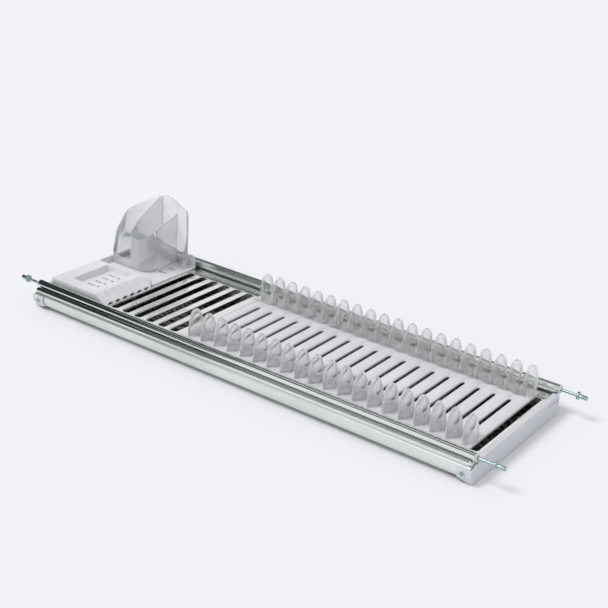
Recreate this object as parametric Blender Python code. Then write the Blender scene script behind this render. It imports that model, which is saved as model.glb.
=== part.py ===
"""Dish drainer for the inside of a wall cabinet: two tubes with sprung pins, a slotted deck between
two profiles, a drip tray under it, and a plate rack and a cutlery tray with two cups standing on it.

Metres, Z up, X along the tubes, front at -Y. The feet of the end panels stand on Z = 0.
"""
import math

import bmesh
import bpy
import numpy as np

# Tubes and the frame's measures
TUBE_LENGTH = 0.740
TUBE_SPACING = 0.230  # front tube axis to rear tube axis
TUBE_RADIUS = 0.006
TUBE_WALL = 0.0008
AXIS_HEIGHT = 0.0345  # tube axes above the feet
GAP = 0.0003  # clearance between neighbours at rest
ROUND_SIDES = 24

# Lip rod in front of the front tube
ROD_RADIUS = 0.004
ROD_FORWARD = 0.0083
ROD_DROP = 0.0063
ROD_SETBACK = 0.001

# Sprung pins, measured outwards from the tube end
BUSH_DEPTH = 0.012
BUSH_RIM = 0.0015
BUSH_RIM_RADIUS = 0.0058
PIN_RADIUS = 0.002
PIN_REACH = 0.0245  # bare rod between tube end and flange
FLANGE_RADIUS = 0.0055
FLANGE_THICKNESS = 0.003
TIP_RADIUS = 0.003
TIP_LENGTH = 0.0115
TIP_CHAMFER = 0.0008
COLLAR_RADIUS = 0.0046
COLLAR_LENGTH = 0.003
TAIL_LENGTH = 0.034  # rod behind the collar, inside the spring
PIN_TRAVEL = 0.022
PIN_SIDES = 16
SPRING_RADIUS = 0.0041  # to the middle of the wire
SPRING_WIRE = 0.00045
SPRING_LENGTH = 0.036
SPRING_TURNS = 7
SPRING_STEPS = 9
SPRING_SIDES = 5
STOP_RADIUS = 0.0036  # bore of the ring inside the tube that backs the spring
STOP_LENGTH = 0.003

# Aluminium profiles
PROFILE_WALL = 0.0016
PROFILE_DROP = 0.028  # underside below the tube axis
FRONT_FLANGE_REACH = 0.0155
REAR_FLANGE_REACH = 0.016
FACE_TOP_FORWARD = 0.0109
FACE_MID_FORWARD = 0.0112
FACE_LOW_FORWARD = 0.0101
FACE_FOOT_FORWARD = 0.0079
REAR_WEB_FORWARD = 0.0067

# End panels
PANEL_OVERHANG = 0.0026  # outer face beyond the tube end
PANEL_WALL = 0.0023
TAB_WIDTH = 0.018
TAB_WALL = 0.0016
TAB_HEM_RISE = 0.0056  # the tab's inner lower corner above the foot
TAB_FOOT_WIDTH = 0.004
FOOT_BACK = 0.0064
SHOULDER_DROP = 0.0036  # shoulder below the tube axis
SHOULDER_WIDTH = 0.005
SHOULDER_WALL = 0.0016
NOTCH_MARGIN = 0.0025
PANEL_CHAMFER_RUN = 0.0118
PANEL_CHAMFER_RISE = 0.0055
LEDGE_WALL = 0.0015
PANEL_RIB_WIDTH = 0.0035
PANEL_RIB_WALL = 0.0015
PANEL_RIBS = 4
GROOVE_LENGTH = 0.034
GROOVE_HEIGHT = 0.0026
GROOVE_DEPTH = 0.001
GROOVE_DROP = 0.0104
SCREW_INSET = 0.009
SCREW_DROP = 0.020
SCREW_HEAD_RADIUS = 0.0029
SCREW_HEAD = 0.0014
SCREW_RADIUS = 0.00145
SCREW_LENGTH = 0.0050
SCREW_SIDES = 12
RECESS_WIDTH = 0.0007
RECESS_SPAN = 0.0032
RECESS_DEPTH = 0.0009

# Slotted deck
SLOT_PITCH = 0.0229
SLOT_COUNT = 32
SLOT_WIDTH = 0.011
DECK_DROP = 0.005  # deck top below the tube axes
DECK_WALL = 0.0008
DECK_END_GAP = 0.0053
DECK_EDGE_GAP = 0.0086  # deck edge to tube axis
FRONT_MARGIN = 0.0114
REAR_MARGIN = 0.0244
SLOT_LIP = 0.0025

# Drip tray
TRAY_SIDE = 0.0186  # tray edge to tube end
TRAY_FRONT = 0.002
TRAY_BACK_GAP = 0.0095
TRAY_WALL = 0.0008
TRAY_FLANGE = 0.006
TRAY_SLOPE = 0.0045
TRAY_DEPTH = 0.0048
TRAY_TOP_GAP = 0.0006
RIDGE_COUNT = 11
RIDGE_HEIGHT = 0.0018
TRAY_RUNNER_GAP = 0.0003

# Plate rack
RACK_FIRST_SLOT = 12
RACK_SLOTS = 19
RACK_SLOT_WIDTH = 0.0049
RACK_SLOT_FRONT = 0.054
RACK_SLOT_BACK_GAP = 0.068  # this and the next gaps run forward from the rear tube's axis
RACK_BACK_GAP = 0.0234
RACK_FRONT = 0.0152
RACK_LEFT_BORDER = 0.0165
RACK_RIGHT_BORDER = 0.009
RACK_TOP_DROP = 0.0002  # strip top below the tube axes
RACK_WALL = 0.002
RACK_SKIRT_WALL = 0.0014
FIN_WALL = 0.0016
STOP_WALL_GAP = 0.0482
STOP_WALL = 0.0018
STOP_LOW = 0.013
# Share of the slot pitch to either side of a slot, and the rise of the stop wall's crest there
STOP_CREST_SHARES = (-0.30, -0.21, -0.11, 0.11, 0.21, 0.30)
STOP_CREST_RISE = (0.0105, 0.0035, 0.0007, 0.0007, 0.0035, 0.0105)
FIN_SIDES = 10
CORE_SIDES = 8
# Height above the tube axis, distance from the nearer tube axis, half length in Y and half width in X, foot first
FRONT_FIN = ((-0.0012, 0.0335, 0.0175, 0.0084), (0.0100, 0.0325, 0.0150, 0.0081), (0.0200, 0.0315, 0.0120, 0.0077),
             (0.0290, 0.0310, 0.0084, 0.0064), (0.0348, 0.0308, 0.0044, 0.0040), (0.0374, 0.0308, 0.0, 0.0))
REAR_FIN = ((-0.0012, 0.0373, 0.0122, 0.0086), (0.0120, 0.0374, 0.0114, 0.0085), (0.0230, 0.0377, 0.0098, 0.0081),
            (0.0325, 0.0380, 0.0072, 0.0069), (0.0388, 0.0380, 0.0038, 0.0042), (0.0416, 0.0380, 0.0, 0.0))

# Cutlery tray
CUTLERY_LEFT = 0.0059
CUTLERY_RIGHT = 0.1175
CUTLERY_FRONT = 0.017
CUTLERY_BACK_GAP = 0.013
CUTLERY_TOP = 0.007  # plateau above the tube axes
CUTLERY_WALL = 0.0015
DRAFT = 0.0006
WELL_LEFT = 0.030
WELL_RIGHT = 0.083
WELL_FRONT = 0.0485
WELL_BACK_GAP = 0.0038  # between the well and the socket
WELL_SLOPE = 0.003
FLANK_TOP = 0.096
SOCKET_RIGHT = 0.1095
SOCKET_LENGTH = 0.0996
SOCKET_SLOPE = 0.0006
RIM_WALL = 0.002  # the socket's rim at the left and at the back
FLANK_RIB_FIRST = 0.026
FLANK_RIB_PITCH = 0.0152
FLANK_RIB_WALL = 0.003
FLANK_RIB_PROUD = 0.0022
HOOK_LEFT = 0.104
HOOK_TOP = 0.0165
HOOK_WALL = 0.0024
HOOK_INSET = 0.0003
DRAIN_WIDTH = 0.003
DRAIN_LENGTH = 0.014
DRAIN_ROW_PITCH = 0.0147
DRAIN_FRONT_MARGIN = 0.004
DRAIN_BACK_MARGIN = 0.008
DRAIN_COLUMNS = (0.0505, 0.0685)
SOCKET_DRAIN_ROWS = (0.0112, 0.0502, 0.0702)  # behind the socket's front
SOCKET_DRAIN_COLUMNS = (0.030, 0.066, 0.096)
KERB_WALL = 0.0014  # low kerb round the cup's foot
KERB_HEIGHT = 0.0025

# Cutlery cup: an inner cup in front of a tall petal that runs round the left and the back
CUP_WALL = 0.0018
CUP_FLOOR = 0.002
CUP_EASE = 0.0005  # rounding of the rim
CUP_PLAY = 0.0004
CUP_SETBACK = 0.0238  # cup's front behind the socket's front
DIVIDER_X = 0.050
CUP_RIGHT = 0.086
CUP_RIGHT_AT_BACK = 0.081
CUP_STEP = 0.0012  # the petal's low front wall behind the inner cup's front
LEFT_FRONT_ROUNDING = 0.005
LEFT_BACK_ROUNDING = 0.020
RIGHT_BACK_ROUNDING = 0.008
WING_TURN = 0.006
CUP_LEFT_ROUNDING = 0.003
CUP_RIGHT_ROUNDING = 0.020
CUP_MESH = 0.006
CUP_DRAIN_LENGTH = 0.012
CUP_DRAIN_WIDTH = 0.003
CUP_DRAIN_ROWS = (0.0164, 0.0364, 0.0564)  # behind the cup's front
CUP_DRAIN_COLUMNS = (0.030, 0.066)
# Share of the wall's length in plan, and the height of its rim above the tube axes
PETAL_RIM = ((0.0, 0.0120), (0.14, 0.0120), (0.185, 0.0165), (0.208, 0.0300), (0.230, 0.0480), (0.27, 0.0588),
             (0.332, 0.0740), (0.44, 0.0790), (0.505, 0.0830), (0.58, 0.0910), (0.632, 0.0980), (0.675, 0.1012),
             (0.742, 0.1030), (0.80, 0.0990), (0.851, 0.0930), (0.895, 0.0890), (0.92, 0.0855), (0.936, 0.0780),
             (0.952, 0.0640), (0.972, 0.0400), (1.0, 0.0200))
INNER_RIM = ((0.0, 0.0990), (0.055, 0.0975), (0.095, 0.0940), (0.174, 0.0869), (0.306, 0.0743), (0.366, 0.0657),
             (0.413, 0.0583), (0.442, 0.0520), (0.477, 0.0497), (0.506, 0.0495), (0.553, 0.0520), (0.611, 0.0580),
             (0.687, 0.0665), (0.80, 0.0705), (0.90, 0.0740), (1.0, 0.0780))

# Places that follow from the sizes
HALF = TUBE_LENGTH / 2
REACH_FRONT = ROD_FORWARD + ROD_RADIUS
FRONT_Y = -TUBE_SPACING / 2 + (REACH_FRONT - TUBE_RADIUS) / 2
REAR_Y = FRONT_Y + TUBE_SPACING
DECK_TOP = AXIS_HEIGHT - DECK_DROP
FIRST_SLOT = (TUBE_LENGTH - (SLOT_COUNT - 1) * SLOT_PITCH) / 2
PROFILE_BOTTOM = AXIS_HEIGHT - PROFILE_DROP
FLANGE_TOP = PROFILE_BOTTOM + PROFILE_WALL
REST = DECK_TOP + GAP  # what stands on the deck
RACK_BACK = TUBE_SPACING - RACK_BACK_GAP
RACK_SLOT_BACK = TUBE_SPACING - RACK_SLOT_BACK_GAP
STOP_WALL_Y = TUBE_SPACING - STOP_WALL_GAP
CUTLERY_BACK = TUBE_SPACING - CUTLERY_BACK_GAP
SOCKET_LEFT = CUTLERY_LEFT + DRAFT + RIM_WALL
SOCKET_BACK = CUTLERY_BACK - DRAFT - RIM_WALL
SOCKET_FRONT = SOCKET_BACK - SOCKET_LENGTH
WELL_BACK = SOCKET_FRONT - WELL_BACK_GAP
CUP_FRONT = SOCKET_FRONT + CUP_SETBACK
FLANK_RIBS = 1 + math.floor((WELL_BACK - FLANK_RIB_FIRST - FLANK_RIB_WALL) / FLANK_RIB_PITCH)
DRAIN_FIRST = WELL_FRONT + WELL_SLOPE + DRAIN_FRONT_MARGIN
DRAIN_ROWS = 1 + math.floor((WELL_BACK - WELL_SLOPE - DRAIN_BACK_MARGIN - DRAIN_FIRST) / DRAIN_ROW_PITCH)


def from_left(x):
    """World X of a place measured from the left tube end."""
    return x - HALF


def from_front(y):
    """World Y of a place measured back from the front tube's axis."""
    return y + FRONT_Y


def from_axis(z):
    """World Z of a place measured up from the tube axes."""
    return z + AXIS_HEIGHT


def make_material(name, colour, metallic, roughness, transmission=0.0):
    material = bpy.data.materials.new(name)
    material.use_nodes = True
    shader = material.node_tree.nodes["Principled BSDF"]
    shader.inputs["Base Color"].default_value = (*colour, 1.0)
    shader.inputs["Metallic"].default_value = metallic
    shader.inputs["Roughness"].default_value = roughness
    shader.inputs["Transmission Weight"].default_value = transmission
    material.diffuse_color = (*colour, 1.0)
    return material


def make_object(name, points, faces, material, origin=(0.0, 0.0, 0.0), smooth=None):
    """A closed mesh with outward normals, its origin moved to the given place."""
    origin = np.asarray(origin, float)
    mesh = bpy.data.meshes.new(name)
    mesh.from_pydata((np.asarray(points, float) - origin).tolist(), [], [list(map(int, face)) for face in faces])
    work = bmesh.new()
    work.from_mesh(mesh)
    bmesh.ops.recalc_face_normals(work, faces=work.faces)
    if work.calc_volume(signed=True) < 0:
        bmesh.ops.reverse_faces(work, faces=work.faces)
    work.to_mesh(mesh)
    work.free()
    if material is not None:
        mesh.materials.append(material)
    if smooth is not None:
        mesh.shade_smooth()
        mesh.set_sharp_from_angle(angle=math.radians(smooth))
    obj = bpy.data.objects.new(name, mesh)
    bpy.context.scene.collection.objects.link(obj)
    obj.location = origin.tolist()
    return obj


def grid_faces(rows, columns, wrap_columns=False, wrap_rows=False):
    """Quads of a grid of points stored row by row."""
    r = np.arange(rows if wrap_rows else rows - 1)[:, None]
    c = np.arange(columns if wrap_columns else columns - 1)[None, :]
    r_next = (r + 1) % rows
    c_next = (c + 1) % columns
    corners = np.broadcast_arrays(r * columns + c, r * columns + c_next, r_next * columns + c_next,
                                  r_next * columns + c)
    return np.stack(corners, axis=-1).reshape(-1, 4).tolist()


def lathe(profile, sides, axis="X", hollow=False):
    """Points and faces of a profile of (place along the axis, radius) turned round that axis."""
    profile = np.asarray(profile, float)
    angle = 2 * math.pi * np.arange(sides) / sides
    along = np.repeat(profile[:, :1], sides, axis=1)
    first = profile[:, 1:] * np.cos(angle)
    second = profile[:, 1:] * np.sin(angle)
    order = (along, first, second) if axis == "X" else (first, along, second)
    points = np.stack(order, axis=-1).reshape(-1, 3)
    rows = len(profile)
    faces = grid_faces(rows, sides, wrap_columns=True, wrap_rows=hollow)
    if not hollow:
        faces.append(list(range(sides)))
        faces.append(list(range((rows - 1) * sides, rows * sides)))
    return points, faces


def prism(outline, low, high, axis="X"):
    """Points and faces of a flat outline drawn out along an axis; the outline gives the other two, in order."""
    outline = np.asarray(outline, float)
    count = len(outline)
    ends = []
    for place in (low, high):
        along = np.full(count, place)
        if axis == "X":
            ends.append(np.stack((along, outline[:, 0], outline[:, 1]), axis=-1))
        elif axis == "Y":
            ends.append(np.stack((outline[:, 0], along, outline[:, 1]), axis=-1))
        else:
            ends.append(np.stack((outline[:, 0], outline[:, 1], along), axis=-1))
    faces = grid_faces(2, count, wrap_columns=True)
    faces.append(list(range(count)))
    faces.append(list(range(count, 2 * count)))
    return np.concatenate(ends), faces


def block(low, high):
    """Points and faces of a box between two corners."""
    outline = ((low[0], low[1]), (high[0], low[1]), (high[0], high[1]), (low[0], high[1]))
    return prism(outline, low[2], high[2], axis="Z")


def joined(pieces):
    """Several lists of points and faces as one."""
    points = []
    faces = []
    count = 0
    for piece_points, piece_faces in pieces:
        points.append(np.asarray(piece_points, float))
        faces.extend([index + count for index in face] for face in piece_faces)
        count += len(piece_points)
    return np.concatenate(points), faces


def arc(centre, radius, start, end, count):
    """Points on a circle between two angles in degrees."""
    angle = np.radians(np.linspace(start, end, count))
    return np.stack((centre[0] + radius * np.cos(angle), centre[1] + radius * np.sin(angle)), axis=-1)


def mitres(path):
    """Sideways unit steps along a path in a plane, stretched at its corners so that a band stays even."""
    step = np.diff(path, axis=0)
    step /= np.linalg.norm(step, axis=1, keepdims=True)
    normal = np.stack((-step[:, 1], step[:, 0]), axis=-1)
    before = np.concatenate((normal[:1], normal))
    after = np.concatenate((normal, normal[-1:]))
    mitre = before + after
    return mitre / np.sum(mitre * before, axis=1, keepdims=True)


def ribbon(path, width):
    """Outline of a band of even width along a path of points in a plane."""
    path = np.asarray(path, float)
    offset = mitres(path) * width / 2
    return np.concatenate((path + offset, (path - offset)[::-1]))


def refined(path, step):
    """The path with its long segments divided, so that no segment is longer than a step."""
    pieces = []
    for start, end in zip(path[:-1], path[1:]):
        count = max(1, math.ceil(np.linalg.norm(end - start) / step))
        pieces.append(start + (end - start) * np.arange(count)[:, None] / count)
    return np.concatenate((*pieces, path[-1:]))


def fence(path, tops, wall, ease, bottom):
    """Upright wall along a path in plan, its rim at the given heights and eased on both sides."""
    sideways = mitres(path)
    rows = []
    for place, drop in ((-wall / 2, ease), (ease - wall / 2, 0.0), (wall / 2 - ease, 0.0), (wall / 2, ease)):
        rows.append(np.concatenate((path + sideways * place, (tops - drop)[:, None]), axis=1))
    low = np.full((len(path), 1), bottom)
    rows.insert(0, np.concatenate((path - sideways * wall / 2, low), axis=1))
    rows.append(np.concatenate((path + sideways * wall / 2, low), axis=1))
    count = len(path)
    faces = grid_faces(len(rows), count, wrap_rows=True)
    faces.append([i * count for i in range(len(rows))])
    faces.append([i * count + count - 1 for i in range(len(rows))])
    return np.concatenate(rows), faces


def combine(target, tool, operation):
    """Boolean of two objects; the tool stays as a hidden helper."""
    tool.hide_render = True
    tool.display_type = "WIRE"
    modifier = target.modifiers.new(tool.name, "BOOLEAN")
    modifier.operation = operation
    modifier.solver = "EXACT"
    modifier.object = tool


def slotted_sheet(name, material, x_span, y_span, top, wall, skirt, skirt_wall, end_skirts, centres, slot_width,
                  slot_span, lip, lip_wall, origin):
    """Sheet with slots along Y, lips turned down along them and skirts turned down along its edges.

    The space is cut into boxes by the planes of all edges, each box is filled or empty, and the faces are
    those between a filled and an empty box.
    """
    planes_x = [*x_span, x_span[0] + skirt_wall, x_span[1] - skirt_wall] if end_skirts else list(x_span)
    for centre in centres:
        for edge in (centre - slot_width / 2, centre + slot_width / 2):
            planes_x.append(edge)
        planes_x.append(centre - slot_width / 2 - lip_wall)
        planes_x.append(centre + slot_width / 2 + lip_wall)
    planes_x = np.unique(planes_x)
    planes_y = np.unique((y_span[0], y_span[0] + skirt_wall, *slot_span, y_span[1] - skirt_wall, y_span[1]))
    planes_z = np.unique((top - skirt, top - lip - wall, top - wall, top))
    mid_x = (planes_x[1:] + planes_x[:-1])[:, None, None] / 2
    mid_y = (planes_y[1:] + planes_y[:-1])[None, :, None] / 2
    mid_z = (planes_z[1:] + planes_z[:-1])[None, None, :] / 2
    nearest = np.min(np.abs(mid_x - np.asarray(centres)), axis=2, keepdims=True)
    in_span = (mid_y > slot_span[0]) & (mid_y < slot_span[1])
    in_slot = (nearest < slot_width / 2) & in_span
    in_lip = (nearest < slot_width / 2 + lip_wall) & in_span & ~in_slot
    at_edge = (mid_y < y_span[0] + skirt_wall) | (mid_y > y_span[1] - skirt_wall)
    if end_skirts:
        at_edge = at_edge | (mid_x < x_span[0] + skirt_wall) | (mid_x > x_span[1] - skirt_wall)
    in_sheet = mid_z > top - wall
    filled = (in_sheet & ~in_slot) | (in_lip & (mid_z > top - lip - wall)) | (at_edge & (mid_z < top))
    shape = (len(planes_x), len(planes_y), len(planes_z))
    padded = np.pad(filled, 1)
    faces = []
    for axis in range(3):
        ahead = np.roll(padded, -1, axis=axis)
        for cell in np.argwhere(padded != ahead):
            low = cell.copy()
            low[axis] += 1
            low -= 1
            others = [i for i in range(3) if i != axis]
            quad = []
            for du, dv in ((0, 0), (1, 0), (1, 1), (0, 1)):
                corner = low.copy()
                corner[others[0]] += du
                corner[others[1]] += dv
                quad.append(int(np.ravel_multi_index(tuple(corner), shape)))
            faces.append(quad)
    grid = np.stack(np.meshgrid(planes_x, planes_y, planes_z, indexing="ij"), axis=-1).reshape(-1, 3)
    used, index = np.unique(np.asarray(faces), return_inverse=True)
    obj = make_object(name, grid[used], index.reshape(-1, 4), material, origin)
    work = bmesh.new()
    work.from_mesh(obj.data)
    bmesh.ops.dissolve_limit(work, angle_limit=math.radians(1), verts=work.verts, edges=work.edges)
    work.to_mesh(obj.data)
    work.free()
    return obj


def shell(top, bottom):
    """Closed skin between two grids of points with the same rows and columns."""
    rows, columns = top.shape[:2]
    count = rows * columns
    faces = grid_faces(rows, columns)
    faces += [[index + count for index in face[::-1]] for face in faces]
    border = np.concatenate((np.arange(columns), np.arange(1, rows) * columns + columns - 1,
                             (rows - 1) * columns + np.arange(columns - 1)[::-1],
                             np.arange(1, rows - 1)[::-1] * columns))
    after = np.roll(border, -1)
    faces += np.stack((border, after, after + count, border + count), axis=-1).tolist()
    return np.concatenate((top.reshape(-1, 3), bottom.reshape(-1, 3))), faces


def dome(rings, sides, centre_x, shrink=0.0, foot=None, lower_tip=0.0):
    """Closed fin from rings of (height, centre, half length, half width), the last one its tip."""
    angle = 2 * math.pi * (np.arange(sides) + 0.5) / sides
    points = []
    for height, centre, half_length, half_width in rings[:-1]:
        x = centre_x + (half_width - shrink) * np.cos(angle)
        y = from_front(centre) + (half_length - shrink) * np.sin(angle)
        points.append(np.stack((x, y, np.full(sides, from_axis(height))), axis=-1))
    if foot is not None:
        points[0][:, 2] = foot
    tip = (centre_x, from_front(rings[-1][1]), from_axis(rings[-1][0] - lower_tip))
    count = len(points)
    faces = grid_faces(count, sides, wrap_columns=True)
    faces.append(list(range(sides)))
    last = (count - 1) * sides
    faces += [[last + i, last + (i + 1) % sides, count * sides] for i in range(sides)]
    return np.concatenate((*points, [tip])), faces


def smooth_rim(table, path):
    """Heights along a path on a smooth curve through the table's places, given as shares of the path's length."""
    length = np.linalg.norm(np.diff(path, axis=0), axis=1)
    place = np.concatenate(([0.0], np.cumsum(length))) / np.sum(length)
    shares = np.asarray([row[0] for row in table], float)
    heights = np.asarray([row[1] for row in table], float)
    slope = (heights[2:] - heights[:-2]) / (shares[2:] - shares[:-2])
    slope = np.concatenate((slope[:1], slope, slope[-1:]))
    i = np.clip(np.searchsorted(shares, place, side="right") - 1, 0, len(shares) - 2)
    span = shares[i + 1] - shares[i]
    t = (place - shares[i]) / span
    rise = heights[i] * (2 * t**3 - 3 * t**2 + 1) + heights[i + 1] * (3 * t**2 - 2 * t**3)
    return rise + span * (slope[i] * (t**3 - 2 * t**2 + t) + slope[i + 1] * (t**3 - t**2))


for old in list(bpy.data.objects):
    bpy.data.objects.remove(old, do_unlink=True)

CHROME = make_material("chromed_steel", (0.80, 0.81, 0.82), 1.0, 0.08)
ZINC = make_material("zinc_plated_steel", (0.60, 0.66, 0.66), 1.0, 0.3)
SPRING_STEEL = make_material("spring_steel", (0.42, 0.43, 0.45), 1.0, 0.35)
ALUMINIUM = make_material("satin_aluminium", (0.66, 0.69, 0.68), 1.0, 0.35)
STAINLESS = make_material("polished_stainless", (0.72, 0.73, 0.72), 1.0, 0.15)
PRESSED = make_material("ridged_stainless", (0.60, 0.61, 0.60), 1.0, 0.22)
PALE_PLASTIC = make_material("pale_grey_plastic", (0.74, 0.76, 0.79), 0.0, 0.4)
CLEAR_PLASTIC = make_material("milky_clear_plastic", (0.82, 0.83, 0.88), 0.0, 0.2, 0.4)

# Tubes, open right through, with a ring near each end that backs the spring
bore = TUBE_RADIUS - TUBE_WALL
collar_inner = BUSH_DEPTH + GAP + COLLAR_LENGTH
stop_outer = collar_inner + GAP + SPRING_LENGTH + PIN_TRAVEL + GAP
stop_inner = stop_outer + STOP_LENGTH
tube_profile = (
    (-HALF, TUBE_RADIUS), (HALF, TUBE_RADIUS), (HALF, bore), (HALF - stop_outer, bore),
    (HALF - stop_outer, STOP_RADIUS), (HALF - stop_inner, STOP_RADIUS), (HALF - stop_inner, bore),
    (stop_inner - HALF, bore), (stop_inner - HALF, STOP_RADIUS), (stop_outer - HALF, STOP_RADIUS),
    (stop_outer - HALF, bore), (-HALF, bore),
)
for side_name, axis_y in (("front", FRONT_Y), ("rear", REAR_Y)):
    points, faces = lathe(tube_profile, ROUND_SIDES, hollow=True)
    make_object(f"{side_name}_tube", points + (0, axis_y, AXIS_HEIGHT), faces, CHROME, (0, axis_y, AXIS_HEIGHT), 40)

# Lip rod with domed ends
rod_end = HALF - ROD_SETBACK
dome_steps = np.radians((90, 60, 30, 0))
rod_profile = [(-rod_end + ROD_RADIUS * (1 - math.sin(a)), ROD_RADIUS * math.cos(a)) for a in dome_steps[1:]]
rod_profile = [(-rod_end, ROD_RADIUS * math.cos(math.radians(80))), *rod_profile]
rod_profile += [(-x, r) for x, r in rod_profile[::-1]]
points, faces = lathe(rod_profile, ROUND_SIDES)
rod_place = (0, FRONT_Y - ROD_FORWARD, AXIS_HEIGHT - ROD_DROP)
make_object("lip_rod", points + rod_place, faces, CHROME, rod_place, 40)

# Bushes, pins and springs, drawn outwards from the tube end and turned about for the left ends
bush_profile = ((GAP, bore - GAP), (GAP, BUSH_RIM_RADIUS), (GAP + BUSH_RIM, BUSH_RIM_RADIUS),
                (GAP + BUSH_RIM, PIN_RADIUS + GAP), (-BUSH_DEPTH, PIN_RADIUS + GAP), (-BUSH_DEPTH, bore - GAP))
collar_face = -BUSH_DEPTH - GAP
collar_back = collar_face - COLLAR_LENGTH
flange_back = PIN_REACH + FLANGE_THICKNESS
tip_end = flange_back + TIP_LENGTH
flange_bevel = FLANGE_THICKNESS / 5
pin_profile = ((collar_back - TAIL_LENGTH, PIN_RADIUS), (collar_back, PIN_RADIUS), (collar_back, COLLAR_RADIUS),
               (collar_face, COLLAR_RADIUS), (collar_face, PIN_RADIUS), (PIN_REACH, PIN_RADIUS),
               (PIN_REACH, FLANGE_RADIUS - flange_bevel), (PIN_REACH + flange_bevel, FLANGE_RADIUS),
               (flange_back, FLANGE_RADIUS), (flange_back, TIP_RADIUS), (tip_end - TIP_CHAMFER, TIP_RADIUS),
               (tip_end, TIP_RADIUS - TIP_CHAMFER))
spring_start = collar_back - GAP - SPRING_WIRE
turn = 2 * math.pi * np.linspace(0, SPRING_TURNS, SPRING_TURNS * SPRING_STEPS + 1)
coil_x = spring_start - (SPRING_LENGTH - 2 * SPRING_WIRE) * turn / turn[-1]
coil = np.stack((coil_x, SPRING_RADIUS * np.cos(turn), SPRING_RADIUS * np.sin(turn)), axis=-1)
outward = np.stack((np.zeros_like(turn), np.cos(turn), np.sin(turn)), axis=-1)
wire_angle = 2 * math.pi * np.arange(SPRING_SIDES) / SPRING_SIDES
wire = coil[:, None, :] + SPRING_WIRE * (np.cos(wire_angle)[None, :, None] * outward[:, None, :]
                                         + np.sin(wire_angle)[None, :, None] * np.array((1.0, 0.0, 0.0)))
wire_faces = grid_faces(len(turn), SPRING_SIDES, wrap_columns=True)
wire_faces.append(list(range(SPRING_SIDES)))
wire_faces.append(list(range((len(turn) - 1) * SPRING_SIDES, len(turn) * SPRING_SIDES)))
for end_name, end_sign in (("left", -1), ("right", 1)):
    for side_name, axis_y in (("front", FRONT_Y), ("rear", REAR_Y)):
        place = np.array((end_sign * HALF, axis_y, AXIS_HEIGHT))
        flip = np.array((end_sign, 1, 1))
        points, faces = lathe(bush_profile, ROUND_SIDES, hollow=True)
        make_object(f"bush_{side_name}_{end_name}", points * flip + place, faces, PALE_PLASTIC, place, 40)
        points, faces = lathe(pin_profile, PIN_SIDES)
        make_object(f"pin_{side_name}_{end_name}", points * flip + place, faces, ZINC, place, 40)
        make_object(f"spring_{side_name}_{end_name}", wire.reshape(-1, 3) * flip + place, wire_faces, SPRING_STEEL,
                    place, 80)

# Front profile: cradle under the tube, groove for the rod, curved face, flange under the deck's skirt
cradle = TUBE_RADIUS + GAP + PROFILE_WALL / 2
groove = ROD_RADIUS + GAP + PROFILE_WALL / 2
flange_mid = -PROFILE_DROP + PROFILE_WALL / 2
rod_centre = (-ROD_FORWARD, -ROD_DROP)
face_top = rod_centre[1] - groove
face_height = face_top - flange_mid
front_path = np.concatenate((
    arc((0, 0), cradle, 5, -110, 8),
    arc(rod_centre, groove, -32, -108, 5),
    ((-FACE_TOP_FORWARD, face_top - face_height * 0.08), (-FACE_MID_FORWARD, face_top - face_height * 0.3),
     (-FACE_MID_FORWARD, face_top - face_height * 0.5), (-FACE_LOW_FORWARD, face_top - face_height * 0.78),
     (-FACE_FOOT_FORWARD, flange_mid), (FRONT_FLANGE_REACH, flange_mid)),
))
place = np.array((0.0, FRONT_Y, AXIS_HEIGHT))
points, faces = prism(ribbon(front_path, PROFILE_WALL), GAP - HALF, HALF - GAP)
front_profile = make_object("front_profile", points + place, faces, ALUMINIUM, place, 35)

# Rear profile: cradle round the tube's lower side, web and flange
web_back = REAR_WEB_FORWARD - PROFILE_WALL
outer = TUBE_RADIUS + GAP + PROFILE_WALL
inner = TUBE_RADIUS + GAP
web_front_angle = 180 + math.degrees(math.acos(REAR_WEB_FORWARD / outer))
web_back_angle = 180 + math.degrees(math.acos(web_back / outer))
rear_outline = np.concatenate((
    arc((0, 0), outer, 175, web_front_angle, 4),
    ((-REAR_WEB_FORWARD, PROFILE_WALL - PROFILE_DROP), (-REAR_FLANGE_REACH, PROFILE_WALL - PROFILE_DROP),
     (-REAR_FLANGE_REACH, -PROFILE_DROP), (-web_back, -PROFILE_DROP)),
    arc((0, 0), outer, web_back_angle, 320, 7),
    arc((0, 0), inner, 320, 175, 10),
))
place = np.array((0.0, REAR_Y, AXIS_HEIGHT))
points, faces = prism(rear_outline, GAP - HALF, HALF - GAP)
rear_profile = make_object("rear_profile", points + place, faces, ALUMINIUM, place, 35)

# End panels, drawn at the left end and mirrored for the right one
tab_gap = PROFILE_WALL / 2 + GAP
tab_out = tab_gap + TAB_WALL
notch = TUBE_RADIUS + NOTCH_MARGIN
rod_notch = ROD_RADIUS + NOTCH_MARGIN
tab_path = np.array((
    (-FACE_TOP_FORWARD, face_top - face_height * 0.10), (-FACE_MID_FORWARD, face_top - face_height * 0.3),
    (-FACE_MID_FORWARD, face_top - face_height * 0.5), (-FACE_LOW_FORWARD, face_top - face_height * 0.78),
    (-FACE_FOOT_FORWARD, flange_mid), (tab_out - FOOT_BACK, -AXIS_HEIGHT),
))
tab_inner = tab_path - (tab_gap, 0)
tab_outer = tab_path - (tab_out, 0)
tab_middle = (tab_inner + tab_outer) / 2
rear_face = TUBE_SPACING - web_back + GAP + TAB_WALL
shoulder_angle = math.degrees(math.asin(SHOULDER_DROP / notch))
rear_notch_angle = math.degrees(math.acos((TUBE_SPACING - rear_face) / notch))
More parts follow.
